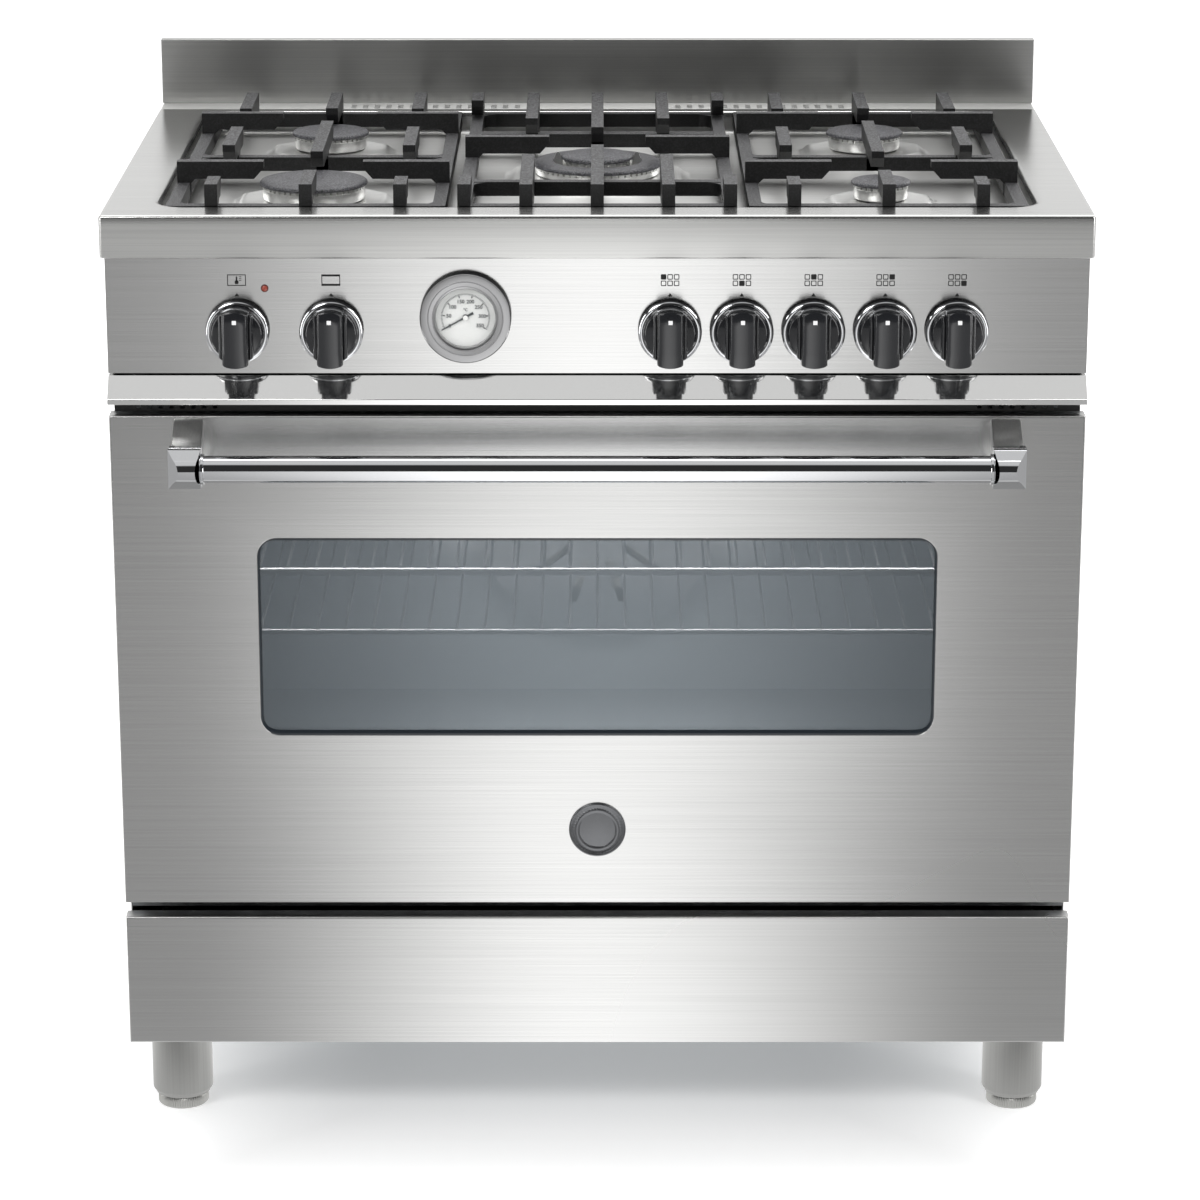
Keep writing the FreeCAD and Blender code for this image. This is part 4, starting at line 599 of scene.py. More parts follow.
# A plain turned disc with a beaded edge is pinned under the window.
# Dark pewter: a grey metal with a soft, slightly grainy sheen.
pewter = plain("dark pewter", "#6d6e70", metallic=1.0, roughness=0.34, grit=0.03, size=0.8)
BADGE_HEIGHT, BEADS, BEAD_HEIGHT = 300, 48, 0.28
BADGE = [(0, 0), (26.0, 0), (26.6, 0.7), (26.2, 1.9), (25.0, 2.5), (23.8, 2.2), (22.9, 1.5), (21.4, 1.3),
         (20.2, 2.1), (19.0, 2.3), (17.6, 1.9), (16.6, 1.3), (9.0, 1.9), (0, 2.3)]


def beads(angle, radius, height):
    """Small scallops between the two rims of the disc: a cosine of the angle on that band only."""
    return np.where((radius > 21) & (radius < 23.5), BEAD_HEIGHT * np.cos(angle * BEADS), 0.0)


add_piece("badge_disc", [facing_front(turned(BADGE, 384, beads), 0, SKIN_FACE, BADGE_HEIGHT)], pewter,
          "door", "zinc_steel")

# Chrome on the handle: a near mirror, bright with dark edges.
chrome = plain("chrome plate", "#e4e5e7", metallic=1.0, roughness=0.055)
dress(chrome, "handle_tube")


def mirrored(shell):
    """The same shell on the other side of the range, its faces turned to stay outward."""
    points, faces = shell
    return points * np.array([-1, 1, 1]), [face[::-1] for face in faces]


def mitred_block(outer, inner, base, back, profile, widths):
    """End block whose moulded front profile is mitred into a bevel at each side.

    profile lists (height, relief) upwards. Each row runs from the outer edge, up the outer bevel
    to the relief, across, and down the inner bevel; a bevel's width grows in step with the relief.
    """
    height, relief = np.asarray(profile, float).T
    share = relief / relief.max()
    level = np.ones_like(share)
    x = [outer * level, outer - widths[0] * share, inner + widths[1] * share, inner * level,
         inner * level, outer * level]
    y = [base * level, base - relief, base - relief, base * level, back * level, back * level]
    return skinned(np.stack([np.stack(x, -1), np.stack(y, -1), np.repeat(height[:, None], 6, 1)], -1),
                   "capped")


bracket_low, bracket_high = box_mm("handle_brackets")
BLOCK_WIDTH, BLOCK_DEPTH, BEVEL_DEPTH, BEVEL_WIDTHS, EDGE = 29.5, 30.0, 14.0, (10.0, 4.2), 0.02
OUTER, FACE = bracket_high[0], bracket_low[1]
INNER = OUTER - BLOCK_WIDTH
axis_y, axis_z = middle_of("handle_tube")[1:]
BULGE_HEIGHT, BULGE_REACH = 13.2, 14.9
bevel_back = FACE + BEVEL_DEPTH

# The block's front swells over the tube's end: an ellipse about the tube's axis.
profile = [(bracket_low[2], EDGE), (bracket_low[2] + 0.5, 0.6)]
for a in np.radians(np.linspace(-58, 58, 15)):
    profile.append((axis_z + BULGE_HEIGHT * math.sin(a), bevel_back - (axis_y - BULGE_REACH * math.cos(a))))
profile += [(bracket_high[2] - 0.4, 0.6), (bracket_high[2], EDGE)]
block = mitred_block(OUTER, INNER, bevel_back, FACE + BLOCK_DEPTH, profile, BEVEL_WIDTHS)

# A thin turned collar on the tube, against each block's inner side.
COLLAR = [(-3.2, 12.4), (-3.2, 13.2), (-2.8, 13.9), (-0.6, 13.9), (-0.1, 13.2), (-0.1, 12.4)]
ring_points, ring_faces = turned([(radius, INNER + along) for along, radius in COLLAR])
collar = (np.stack([ring_points[:, 2], axis_y + ring_points[:, 0], axis_z + ring_points[:, 1]], -1),
          ring_faces)
add_piece("handle_end_blocks", [block, collar, mirrored(block), mirrored(collar)], chrome, "door",
          "polished", "handle_brackets", sharp=20)


def arm_loop(share):
    """Section of an arm, from share 0 at the block to 1 at the door.

    Its outer side moves out by share squared, and its top rises to the door's by share to the 1.4.
    """
    lift = (DOOR_TOP - 2.5 - bracket_high[2] + 2) * share ** 1.4
    sides = rectangle((INNER + 0.8 + share * 1.5, OUTER - 0.8 + share ** 2),
                      (bracket_low[2] + 8, bracket_high[2] - 2 + lift))
    y = FACE + BLOCK_DEPTH - 1 + share * (SKIN_FACE - FACE - BLOCK_DEPTH + 1)
    return upright(corner_path(sides, 2.0, 3), y)


# The arms are cast with the blocks and widen where they meet the door.
# Satin: left as it was ground, so it greys softly beside the bright blocks.
satin = brushed_steel("satin cast arm", "#dededd", 0.36, (600.0, 6.0, 600.0), 0.01)
arm = skinned([arm_loop(share) for share in np.linspace(1, 0, 9)], "capped")
add_piece("handle_arms", [arm, mirrored(arm)], satin, "door", "brushed_sheet", sharp=40)

# ---------------------------------------------------------------- drawer
# A storage drawer under the oven: a brushed front with folded edges, screwed to a box of
# galvanised sheet that slides on the base pan's rails.

welded("drawer_front", front_steel, 0.5)

# ---------------------------------------------------------------- control panel
# A brushed fascia folded from one sheet, over a polished moulding and a black strip with air
# slots. Moulded plastic knobs with a chromed ring turn on gas valves and oven switches.

# Fascia: the same sheet polished finer, so it mirrors the knobs a little.
panel_steel = brushed_steel("brushed stainless fascia", "#d6d6d5", 0.175)
welded("control_panel", panel_steel, 0)
# Moulding: mirror-polished, so it shows the floor and the knobs above it.
mirror_steel = plain("polished steel moulding", "#f4f4f3", metallic=1.0, roughness=0.07)
welded("trim_ledge", mirror_steel, 0.3)
# Strip over the door: satin black paint that reads as a shadow gap.
black_sheet = plain("satin black strip", "#070707", roughness=0.5, grit=0.02, size=0.6)
dress(black_sheet, "vent_trim")
# Brass valves: yellow metal with the soft sheen of a lathe cut.
brass = plain("machined brass", "#b08d4a", metallic=1.0, roughness=0.3, grit=0.01, size=0.5)
dress(brass, "gas_valves")
# Switch housings: ivory plastic, slightly matt from the mould.
switch_plastic = plain("moulded switch housing", "#d8d5cc", roughness=0.5, grit=0.01, size=0.5)
dress(switch_plastic, "oven_switches")
# Valve stems: bright turned steel.
steel_pin = plain("turned steel", "#b5b5b3", metallic=1.0, roughness=0.25, grit=0.005, size=0.5)
dress(steel_pin, *[name for name in nodes if name.startswith("stem_")])
# Knob plastic: black with a lacquered gloss that draws thin lights along its edges.
knob_black = plain("semi-gloss black knob", "#1d1e21", roughness=0.22, grit=0.008, size=0.5,
                   **{"Coat Weight": 0.6})
# Knob rings: chrome with a slight haze, brighter than the steel round them.
wire_chrome = plain("chromed wire", "#dcdddf", metallic=1.0, roughness=0.12)
# Marks on the knobs: opaque white paint.
white_ink = plain("white screen print", "#f4f4f4", roughness=0.5)
# Neon's lens: dull red plastic while unlit, glossy outside.
red_lens = plain("translucent red lens", "#9a4638", roughness=0.25, **{"Coat Weight": 0.5})
dress(red_lens, "neon_lens")


def prism(outline, low, high, plane="XZ"):
    """Extrude an outline: a closed loop of points becomes a wall with a flat cap at each end.

    plane names the outline's two axes; the third axis runs from low to high. The outline's signed
    area, half the sum of u v' - u' v over its sides, tells which way round it has to run.
    """
    outline = np.asarray(outline, float)
    u, v = outline.T
    area = np.sum(u * np.roll(v, -1) - np.roll(u, -1) * v)
    if (area < 0) != (plane == "XZ"):
        u, v = outline[::-1].T
    ends = []
    for level in (low, high):
        w = np.full(len(u), float(level))
        ends.append(np.stack({"XZ": (u, w, v), "XY": (u, v, w), "YZ": (w, u, v)}[plane], -1))
    return skinned(ends, "capped")


def rounded_box(u, v, radius, steps=5):
    """Outline of a rectangle with rounded corners."""
    return corner_path(rectangle(u, v), radius, steps)


def on_panel(shells, x, z):
    """Shells turned to the front and set on the panel's face."""
    return [facing_front(shell, x, PANEL_FACE, z) for shell in shells]


PANEL_FACE = box_mm("control_panel")[0][1]
knob_names = [name for name in nodes if name.startswith("knob_")]
SKIRT = [(0, 5), (27.8, 5), (28.9, 5.6), (28.9, 9.4), (28.4, 10.6), (27.0, 11.4), (25.4, 11.2),
         (25.1, 11.8), (24.6, 15.5), (23.6, 17.6), (21.5, 18.8), (0, 19.4)]
KNOB_RING = [(25.0, 11.4), (26.2, 11.2), (27.9, 10.6), (28.6, 10.8), (28.6, 11.4), (27.6, 12.2),
             (26.4, 12.6), (25.4, 12.4)]
BAR_HALF, SHOULDER_SHORT_DOWN, SHOULDER_SHORT_UP = 11.9, 2.6, 1.2


def bar_grip(reach_down, reach_up, base, crown):
    """Grip across a knob, as a grid of one cross profile swept along the bar.

    Across, a crowned bar stands between two lower shoulders. Along, every line of the profile
    ends on a circle about the knob's axis, larger for the bar, and drops steeply to the base.
    """
    half = np.array([15.6, 15.4, 14.9, 14.2, 13.2, 12.4, 12.0, 11.8, 11.6, 11.1, 10.0, 7.5, 4.0])
    rise = np.array([0.0, 0.56, 0.62, 0.645, 0.65, 0.635, 0.62, 0.74, 0.88, 0.945, 0.975, 0.99, 0.998])
    across = np.concatenate([-half, [0], half[::-1]])
    lift = np.concatenate([rise, [1.0], rise[::-1]])
    bar = np.abs(across) < BAR_HALF
    down = np.sqrt(np.where(bar, reach_down, reach_down - SHOULDER_SHORT_DOWN) ** 2 - across ** 2)
    up = np.sqrt(np.where(bar, reach_up, reach_up - SHOULDER_SHORT_UP) ** 2 - across ** 2)
    along = np.array([-1, -1, -0.997, -0.985, -0.95, -0.5, 0, 0.5, 0.95, 0.985, 0.997, 1, 1])
    fall = np.array([0, 0.55, 0.93, 0.985, 1, 1, 1, 1, 1, 0.985, 0.93, 0.55, 0])
    reach = np.where(along[:, None] < 0, down[None], up[None])
    return skinned(np.stack([np.repeat(across[None], len(along), 0), along[:, None] * reach,
                             base + crown * lift[None] * fall[:, None]], -1), "capped")


knob = [turned(SKIRT, 96), bar_grip(27.6, 25.0, 10, 28.5)]
knob_ring = [turned(KNOB_RING, 96)]
pointer = prism(rounded_box((-1.9, 1.9), (13.6, 17.4), 0.4), 38.2, 38.6, "XY")
zero_points, zero_faces = turned([(1.1, 18.5), (1.8, 18.5), (1.8, 19.5), (1.1, 19.5)], 24)
zero = moved((zero_points * np.array([1, 1.25, 1]), zero_faces), 0, 22.0, -1.0)
for name in knob_names:
    x, z = middle_of(name)[[0, 2]]
    if "burner" in name:
        body = name.replace("knob_burner", "knob")
    else:
        body = name.replace("knob_oven_", "oven_") + "_knob"
    add_piece(f"{name}_body", on_panel(knob, x, z), knob_black, body, "knob_black", name, sharp=50)
    add_piece(f"{name}_bezel", on_panel(knob_ring, x, z), wire_chrome, body, "polished")
    add_piece(f"{name}_mark", on_panel([pointer, zero], x, z), white_ink, body, "dial_paint", smooth=False)

# ---------------------------------------------------------------- printed signs
# Screen-printed pictograms over the knobs: two heating signs and five 3 x 2 burner maps, a
# pointer mark over each knob, and the moulded ring of the red neon lamp.

PRINT, LINE, SIGN_RISE, SIGN_WIDTH, SIGN_HEIGHT, HEAT_BAR = 0.05, 0.8, 46.5, 17, 10.5, 3.4
CELL_PITCH, CELL_SIDE, MARK_HALF, MARK_LOW, MARK_HIGH = 5.9, 5.0, 2.2, 31.4, 34.6


def inked(outline):
    """An outline printed on the panel, as a sheet of ink half sunk into its face."""
    return prism(outline, PANEL_FACE - PRINT, PANEL_FACE + PRINT)


def bar_print(u, v):
    """A filled rectangle of ink."""
    return inked(rectangle(u, v))


def frame_print(x, z):
    """Rectangular outline of a heating sign, printed as four thin bars."""
    half_w, half_h = SIGN_WIDTH / 2, SIGN_HEIGHT / 2
    bars = [((x - half_w, x + half_w), (z + half_h - LINE, z + half_h)),
            ((x - half_w, x + half_w), (z - half_h, z - half_h + LINE)),
            ((x - half_w, x - half_w + LINE), (z - half_h + LINE, z + half_h - LINE)),
            ((x + half_w - LINE, x + half_w), (z - half_h + LINE, z + half_h - LINE))]
    return [bar_print(u, v) for u, v in bars]


def cell_print(x, z, side, filled):
    """One rounded cell of a burner map: filled, or a thin ring."""
    half, inner_half = side / 2, side / 2 - LINE
    outer = rounded_box((x - half, x + half), (z - half, z + half), 0.9, 4)
    if filled:
        return inked(outer)
    inner = rounded_box((x - inner_half, x + inner_half), (z - inner_half, z + inner_half), 0.6, 4)
    back, front = PANEL_FACE + PRINT, PANEL_FACE - PRINT
    return skinned([upright(outer, back), upright(outer, front), upright(inner, front),
                    upright(inner, back)], "joined")


knob_x = {name: middle_of(name)[0] for name in knob_names}
knob_z = middle_of("knob_burner_wok")[2]
sign_z = knob_z + SIGN_RISE
x = knob_x["knob_oven_heat"]
signs = frame_print(x, sign_z)
across = (x - SIGN_WIDTH / 2, x + SIGN_WIDTH / 2)
signs += [bar_print(across, (sign_z + HEAT_BAR, sign_z + SIGN_HEIGHT / 2)),
          bar_print(across, (sign_z - SIGN_HEIGHT / 2, sign_z - HEAT_BAR))]
x = knob_x["knob_oven_mode"]
signs += frame_print(x, sign_z)
signs += [bar_print((x - 0.7, x + 0.7), (sign_z - 1.5, sign_z + 3.4)),
          cell_print(x, sign_z - 2.0, 3.4, True)]
signs += [bar_print((x + 2.2, x + 4.4), (sign_z + rise, sign_z + rise + 0.6)) for rise in (-0.6, 1.1, 2.8)]
FILLED = {"rear_left": (0, 1), "front_left": (1, 0), "wok": (1, 1), "rear_right": (2, 1),
          "front_right": (2, 0)}
for label, marked in FILLED.items():
    middle = knob_x[f"knob_burner_{label}"]
    for column in range(3):
        for row in range(2):
            signs.append(cell_print(middle + (column - 1) * CELL_PITCH, sign_z + (row - 0.5) * CELL_PITCH,
                                    CELL_SIDE, (column, row) == marked))
for x in knob_x.values():
    signs.append(inked([(x - MARK_HALF, knob_z + MARK_LOW), (x + MARK_HALF, knob_z + MARK_LOW),
                        (x, knob_z + MARK_HIGH)]))
# Ink: flat black, a little softer than the steel round it.
ink = plain("black screen print", "#161616", roughness=0.5)
add_piece("panel_signs", signs, ink, "cabinet", "needle_paint", smooth=False)
# Neon's rim: dark red plastic that frames the lens.
neon_red = plain("dark red moulded rim", "#5b2c24", roughness=0.3)
neon_x, neon_z = middle_of("neon_lens")[[0, 2]]
neon_ring = turned([(2.55, 0), (3.5, 0), (3.5, 0.5), (3.1, 1.0), (2.55, 1.0)], 48)
add_piece("neon_ring", on_panel([neon_ring], neon_x, neon_z), neon_red, "cabinet", "neon_red")

# ---------------------------------------------------------------- thermometer
# An oven thermometer: a chromed bezel turned in steps, snapped over a black moulded
# case, with a white printed dial, a needle on a pivot and a flat glass.

gauge_x, gauge_z = middle_of("gauge_bezel")[[0, 2]]
BEZEL_STEPS = [(33.4, -8), (37.5, -8), (37.5, 9.2), (41.0, 9.2), (41.1, 10.1), (40.5, 10.7),
               (39.8, 10.8), (34.5, 10.8), (34.1, 10.3), (33.8, 10.3), (33.5, 10.7), (30.2, 10.5),
               (29.9, 9.9), (29.6, 9.9), (29.3, 10.2), (28.0, 9.9), (27.3, 8.9), (26.9, 4.4), (33.0, 4.0)]
CASE_STEPS = [(37.6, 0), (41.5, 0), (41.5, 9.1), (37.6, 9.1)]
# Bezel: satin chrome whose steps catch light as thin rings.
satin_chrome = plain("satin chrome plate", "#b4b4b5", metallic=1.0, roughness=0.28)
add_piece("gauge_bezel_turned", on_panel([turned(BEZEL_STEPS, 128)], gauge_x, gauge_z), satin_chrome,
          "cabinet", "polished", "gauge_bezel", sharp=25)
# Case: black plastic with a soft gloss, a dark line round the bezel.
case_black = plain("moulded black gauge case", "#0d0d0e", roughness=0.35, grit=0.01, size=0.6)
add_piece("gauge_case", on_panel([turned(CASE_STEPS, 128)], gauge_x, gauge_z), case_black, "cabinet",
          "trim_black", sharp=25)
# Dial: matt white paint that stays even behind the glass.
dial_white = plain("matt white dial", "#f3f3f0", roughness=0.55)
dress(dial_white, "gauge_dial")
dress(ink, "gauge_needle")
dress(clear_glass, "gauge_glass")

# The scale runs clockwise from 0 at the lower left to 350 at the lower right.
ZERO_ANGLE, SWEEP, STEPS, FINE_PER_STEP, INK_DEPTH = 209.0, 239.0, 7, 10, 0.08
DIAL_FACE = PANEL_FACE - box_mm("gauge_dial")[0][1] + 0.05
# Marks: inner and outer radius and width. Figures: their height and how far out they stand.
FINE_MARK, SECOND_MARK, STEP_MARK = (20.8, 22.2, 0.55), (20.8, 22.6, 0.55), (18.7, 20.6, 1.1)
FIGURE_HEIGHT, FIGURE_REACH, ZERO_REACH, UNIT_HEIGHT, UNIT_RISE, DEGREES = 4.7, 15.2, 16.4, 3.6, 7.0, 50


def tick(angle, inner, outer, width):
    """One printed mark: a thin bar along the y axis, turned to point at the dial's middle."""
    points, faces = prism(rectangle((-width / 2, width / 2), (inner, outer)), 0, INK_DEPTH, "XY")
    turn_by = math.radians(angle - 90)
    spin = np.array([[math.cos(turn_by), -math.sin(turn_by), 0], [math.sin(turn_by), math.cos(turn_by), 0],
                     [0, 0, 1]])
    return points @ spin.T + np.array([0, 0, DIAL_FACE]), faces


def numeral(words, height, x, y):
    """Printed figures as a thin closed mesh, centred on a point of the dial."""
    curve = bpy.data.curves.new("figures", "FONT")
    curve.body, curve.size, curve.extrude, curve.resolution_u = words, height, INK_DEPTH / 2, 3
    curve.align_x, curve.align_y, curve.offset = "CENTER", "CENTER", 0.13
    item = bpy.data.objects.new("figures", curve)
    mesh = bpy.data.meshes.new_from_object(item)
    shell = bmesh.new()
    shell.from_mesh(mesh)
    bmesh.ops.remove_doubles(shell, verts=shell.verts, dist=0.001)
    shell.to_mesh(mesh)
    shell.free()
    points = np.zeros(3 * len(mesh.vertices))
    mesh.vertices.foreach_get("co", points)
    faces = [list(face.vertices) for face in mesh.polygons]
    bpy.data.objects.remove(item)
    bpy.data.meshes.remove(mesh)
    return points.reshape(-1, 3) + (x, y, DIAL_FACE + 0.05), faces


scale_marks = []
for step in range(STEPS * FINE_PER_STEP + 1):
    angle = ZERO_ANGLE - SWEEP * step / (STEPS * FINE_PER_STEP)
    scale_marks.append(tick(angle, *(FINE_MARK if step % 2 else SECOND_MARK)))
for step in range(STEPS + 1):
    scale_marks.append(tick(ZERO_ANGLE - SWEEP * step / STEPS, *STEP_MARK))
for step in range(STEPS + 1):
    angle = math.radians(ZERO_ANGLE - SWEEP * step / STEPS)
    reach = FIGURE_REACH if step else ZERO_REACH
    scale_marks.append(numeral(str(step * DEGREES), FIGURE_HEIGHT, reach * math.cos(angle),
                               reach * math.sin(angle)))
scale_marks.append(numeral("\u00b0C", UNIT_HEIGHT, 0, UNIT_RISE))
add_piece("gauge_scale", on_panel(scale_marks, gauge_x, gauge_z), ink, "cabinet", "needle_paint",
          smooth=False)
HUB = [(0, 1.9), (2.3, 1.9), (2.3, 2.3), (1.6, 2.6), (0, 2.6)]
add_piece("gauge_hub", on_panel([moved(turned(HUB, 32), z=DIAL_FACE)], gauge_x, gauge_z), dial_white,
          "needle", "dial_paint")

# ---------------------------------------------------------------- hob
# One pressed stainless sheet: a fascia folded down all round, a sunk well with rolled edges, an
# octagonal dish raised round each burner, and three rows of air slots punched behind the well.

hob_low, hob_high = box_mm("hob_top")
HOB_HALF, HOB_REAR, DECK = hob_high
HOB_FRONT, HOB_BOTTOM = hob_low[1:]
WELL_HALF, WELL_DEPTH, WELL_FRONT, WELL_BACK = 403.0, 22.5, HOB_FRONT + 39, HOB_FRONT + 541
WELL_FLOOR, WELL_LIP, FASCIA_FOLD = DECK - WELL_DEPTH, 10, 3
CORNER_STEPS = 9
LOOP_COUNT = 4 * CORNER_STEPS


def loop_points(half, front, back, radius):
    """Rounded rectangle about the hob's middle line: each corner is centre + radius (cos a, sin a).

    It has the same number of points for any radius.
    """
    radius = max(radius, 1e-4)
    angle = np.linspace(0, np.pi / 2, CORNER_STEPS)
    centres = [(half - radius, back - radius, 0), (radius - half, back - radius, 1),
               (radius - half, front + radius, 2), (half - radius, front + radius, 3)]
    corners = []
    for x, y, quarter in centres:
        turn = angle + quarter * np.pi / 2
        corners.append(np.stack([x + radius * np.cos(turn), y + radius * np.sin(turn)], -1))
    return np.vstack(corners)


def nest(levels):
    """Surface through nested loops; levels lists (half width, front, back, corner radius, z)."""
    rings = [np.column_stack([loop_points(*level[:4]), np.full(LOOP_COUNT, level[4])]) for level in levels]
    return skinned(rings, None)


def well_level(inward, drop, radius):
    """A loop of the well's wall, set inward from its mouth and dropped below the deck."""
    return (WELL_HALF - inward, WELL_FRONT + inward, WELL_BACK - inward, radius, DECK - drop)


def fold_level(inward, radius, z):
    """A loop of the fascia, set inward from the hob's outline."""
    return (HOB_HALF - inward, HOB_FRONT + inward, HOB_REAR - inward, radius, z)


# The well's mouth and foot are quarter circles: the sheet moves inward by a sine or cosine of
# the turn while it drops by the other.
turn = np.linspace(0, np.pi / 2, 6)
wall = [well_level(-WELL_LIP, 0, 0.0), well_level(-6, 0, 32), well_level(-2.0, 0, 29)]
wall += [well_level(3.5 * math.sin(a) - 1.5, 3.5 * (1 - math.cos(a)), 28) for a in turn[1:-1]]
wall += [well_level(3.5 + 5 * (1 - math.cos(a)), WELL_DEPTH - 5 * (1 - math.sin(a)), 26) for a in turn]
wall += [well_level(30, WELL_DEPTH, 16), well_level(120, WELL_DEPTH, 4)]
pan_points, pan_faces = nest(wall)
pan_faces.append(list(range(len(pan_points) - LOOP_COUNT, len(pan_points))))
fold = [fold_level(FASCIA_FOLD * (1 - math.sin(a)), FASCIA_FOLD * math.sin(a),
                   DECK - FASCIA_FOLD * (1 - math.cos(a))) for a in turn]
fold += [fold_level(0, 3, HOB_BOTTOM + 2), fold_level(0.6, 3, HOB_BOTTOM + 0.6),
         fold_level(2, 2, HOB_BOTTOM), fold_level(16, 1, HOB_BOTTOM)]
skirt = nest(fold[::-1])
SLOT_START, SLOT_PITCH, SLOT_WIDTH, SLOT_COUNT = 80, 12, 5.4, 15
SLOT_LENGTH, ROW_START, ROW_PITCH = 4.8, 16, 7.5


def slotted_deck():
    """Flat frame round the well, as a grid with the cells of the well and the air slots left out."""
    columns = SLOT_START + SLOT_PITCH * np.arange(SLOT_COUNT, dtype=float)
    slots = np.sort(np.concatenate([columns, columns + SLOT_WIDTH, -columns, -columns - SLOT_WIDTH]))
    starts = WELL_BACK + ROW_START + ROW_PITCH * np.arange(3)
    rows = np.sort(np.concatenate([starts, starts + SLOT_LENGTH]))
    mouth, flat, front, back = (WELL_HALF + WELL_LIP, HOB_HALF - FASCIA_FOLD, WELL_FRONT - WELL_LIP,
                                WELL_BACK + WELL_LIP)
    x = np.concatenate([[-flat, -mouth], slots, [mouth, flat]])
    y = np.concatenate([[HOB_FRONT + FASCIA_FOLD, front, back], rows, [HOB_REAR - FASCIA_FOLD]])
    grid_x, grid_y = np.meshgrid(x, y)
    points = np.stack([grid_x, grid_y, np.full_like(grid_x, DECK)], -1).reshape(-1, 3)
    faces = np.array(grid_faces(len(y), len(x)))
    centre = points[faces].mean(1)
    from_middle, depth = np.abs(centre[:, 0]), centre[:, 1]
    in_well = (from_middle < mouth) & (depth > front) & (depth < back)
    along = from_middle - SLOT_START
    in_column = (along > 0) & (along < SLOT_PITCH * SLOT_COUNT) & (along % SLOT_PITCH < SLOT_WIDTH)
    in_row = ((depth[:, None] > starts) & (depth[:, None] < starts + SLOT_LENGTH)).any(1)
    return points, faces[~in_well & ~(in_column & in_row)].tolist()


# Hob: the palest of the steels, polished on the deck; duller down in the well, where pans and
# pads scour it, and along the strip behind it.
hob_steel = brushed_steel("pressed stainless hob", "#dededc", 0.21, (3.0, 700.0, 700.0), 0.02, 0.25,
                          [("Y", WELL_BACK + 9, WELL_BACK + 13, 0.7), ("Z", DECK - 4, DECK - 9, 0.4)])
hob = add_piece("hob_pressing", [(pan_points, pan_faces), skirt, slotted_deck()], hob_steel, "cabinet",
                "brushed_sheet", "hob_top", sharp=50, closed=False)
edge_of_corner = np.zeros(len(hob.data.loops), int)
hob.data.loops.foreach_get("edge_index", edge_of_corner)
rim = np.bincount(edge_of_corner, minlength=len(hob.data.edges)) == 1
creased = np.zeros(len(rim), bool)
hob.data.edges.foreach_get("use_edge_sharp", creased)
hob.data.edges.foreach_set("use_edge_sharp", creased | rim)
sheet = hob.modifiers.new("sheet", "SOLIDIFY")
sheet.thickness, sheet.offset = 1.0 * MM, -1

# Each burner: its middle x and y, its cap's radius, and its number of ports.
BURNERS = {"rear_left": (-265.8, 159.5, 38.0, 36), "front_left": (-265.8, -98.5, 50.5, 48),
           "wok": (0.0, 30.5, 62.4, 56), "rear_right": (265.8, 159.5, 38.0, 36),
           "front_right": (265.8, -98.5, 28.0, 26)}
DISH_MARGIN, DISH_RISE, DISH_SLOPE, DISH_SIDES = 28, 6.5, 13, 96


def dish(x, y, reach):
    """Octagonal dish pressed up from the floor: rings of an octagon that shrink as they rise.

    At angle a the octagon's radius is 1 / max(|cos a|, |sin a|, (|cos a| + |sin a|) / 1.42), and
    each ring's corners are rounded by blending it with its own circle.
    """
    angle = np.arange(DISH_SIDES) * 2 * np.pi / DISH_SIDES
    cosine, sine = np.cos(angle), np.sin(angle)
    octagon = 1 / np.maximum.reduce([np.abs(cosine), np.abs(sine), (np.abs(cosine) + np.abs(sine)) / 1.42])
    steps = [(0, 0), (0.15, 0.02), (0.35, 0.16), (0.6, 0.6), (0.8, 0.9), (1.0, 1.0), (1.2, 0.97),
             (1.5, 0.9)]
    inward, up = np.array(steps).T[:, :, None]
    radius = (reach - DISH_SLOPE * inward) * (0.86 * octagon + 0.14)
    height = np.repeat(WELL_FLOOR + 0.02 + DISH_RISE * up, DISH_SIDES, 1)
    return skinned(np.stack([x + radius * cosine, y + radius * sine, height], -1), "capped")


dishes = [dish(x, y, radius + DISH_MARGIN) for x, y, radius, count in BURNERS.values()]
add_piece("burner_dishes", dishes, hob_steel, "cabinet", "brushed_sheet", sharp=50)
# Upstand: the same brushed sheet, a shade greyer and less polished than the deck.
upstand_steel = brushed_steel("brushed stainless upstand", "#cbcbc9", 0.3)
welded("backsplash", upstand_steel, 0.5)

# A black sheet under the air slots: painted shade, so the slots read as dark as the shaded inside of the
# body.
TRAY_INSET, TRAY_DROP = 60, 8
tray_outline = rectangle((TRAY_INSET - HOB_HALF, HOB_HALF - TRAY_INSET), (WELL_BACK + 8, WELL_BACK + 44))
tray = prism(tray_outline, DECK - TRAY_DROP - 1, DECK - TRAY_DROP, "XY")
add_piece("slot_shade_tray", [tray], black_sheet, "cabinet", "trim_black", smooth=False)

# ---------------------------------------------------------------- burners
# Cast aluminium flame rings with ports milled in their upper edge stand on the dishes, under
# pressed steel caps in rough black enamel. The wok burner has a ring inside a ring.


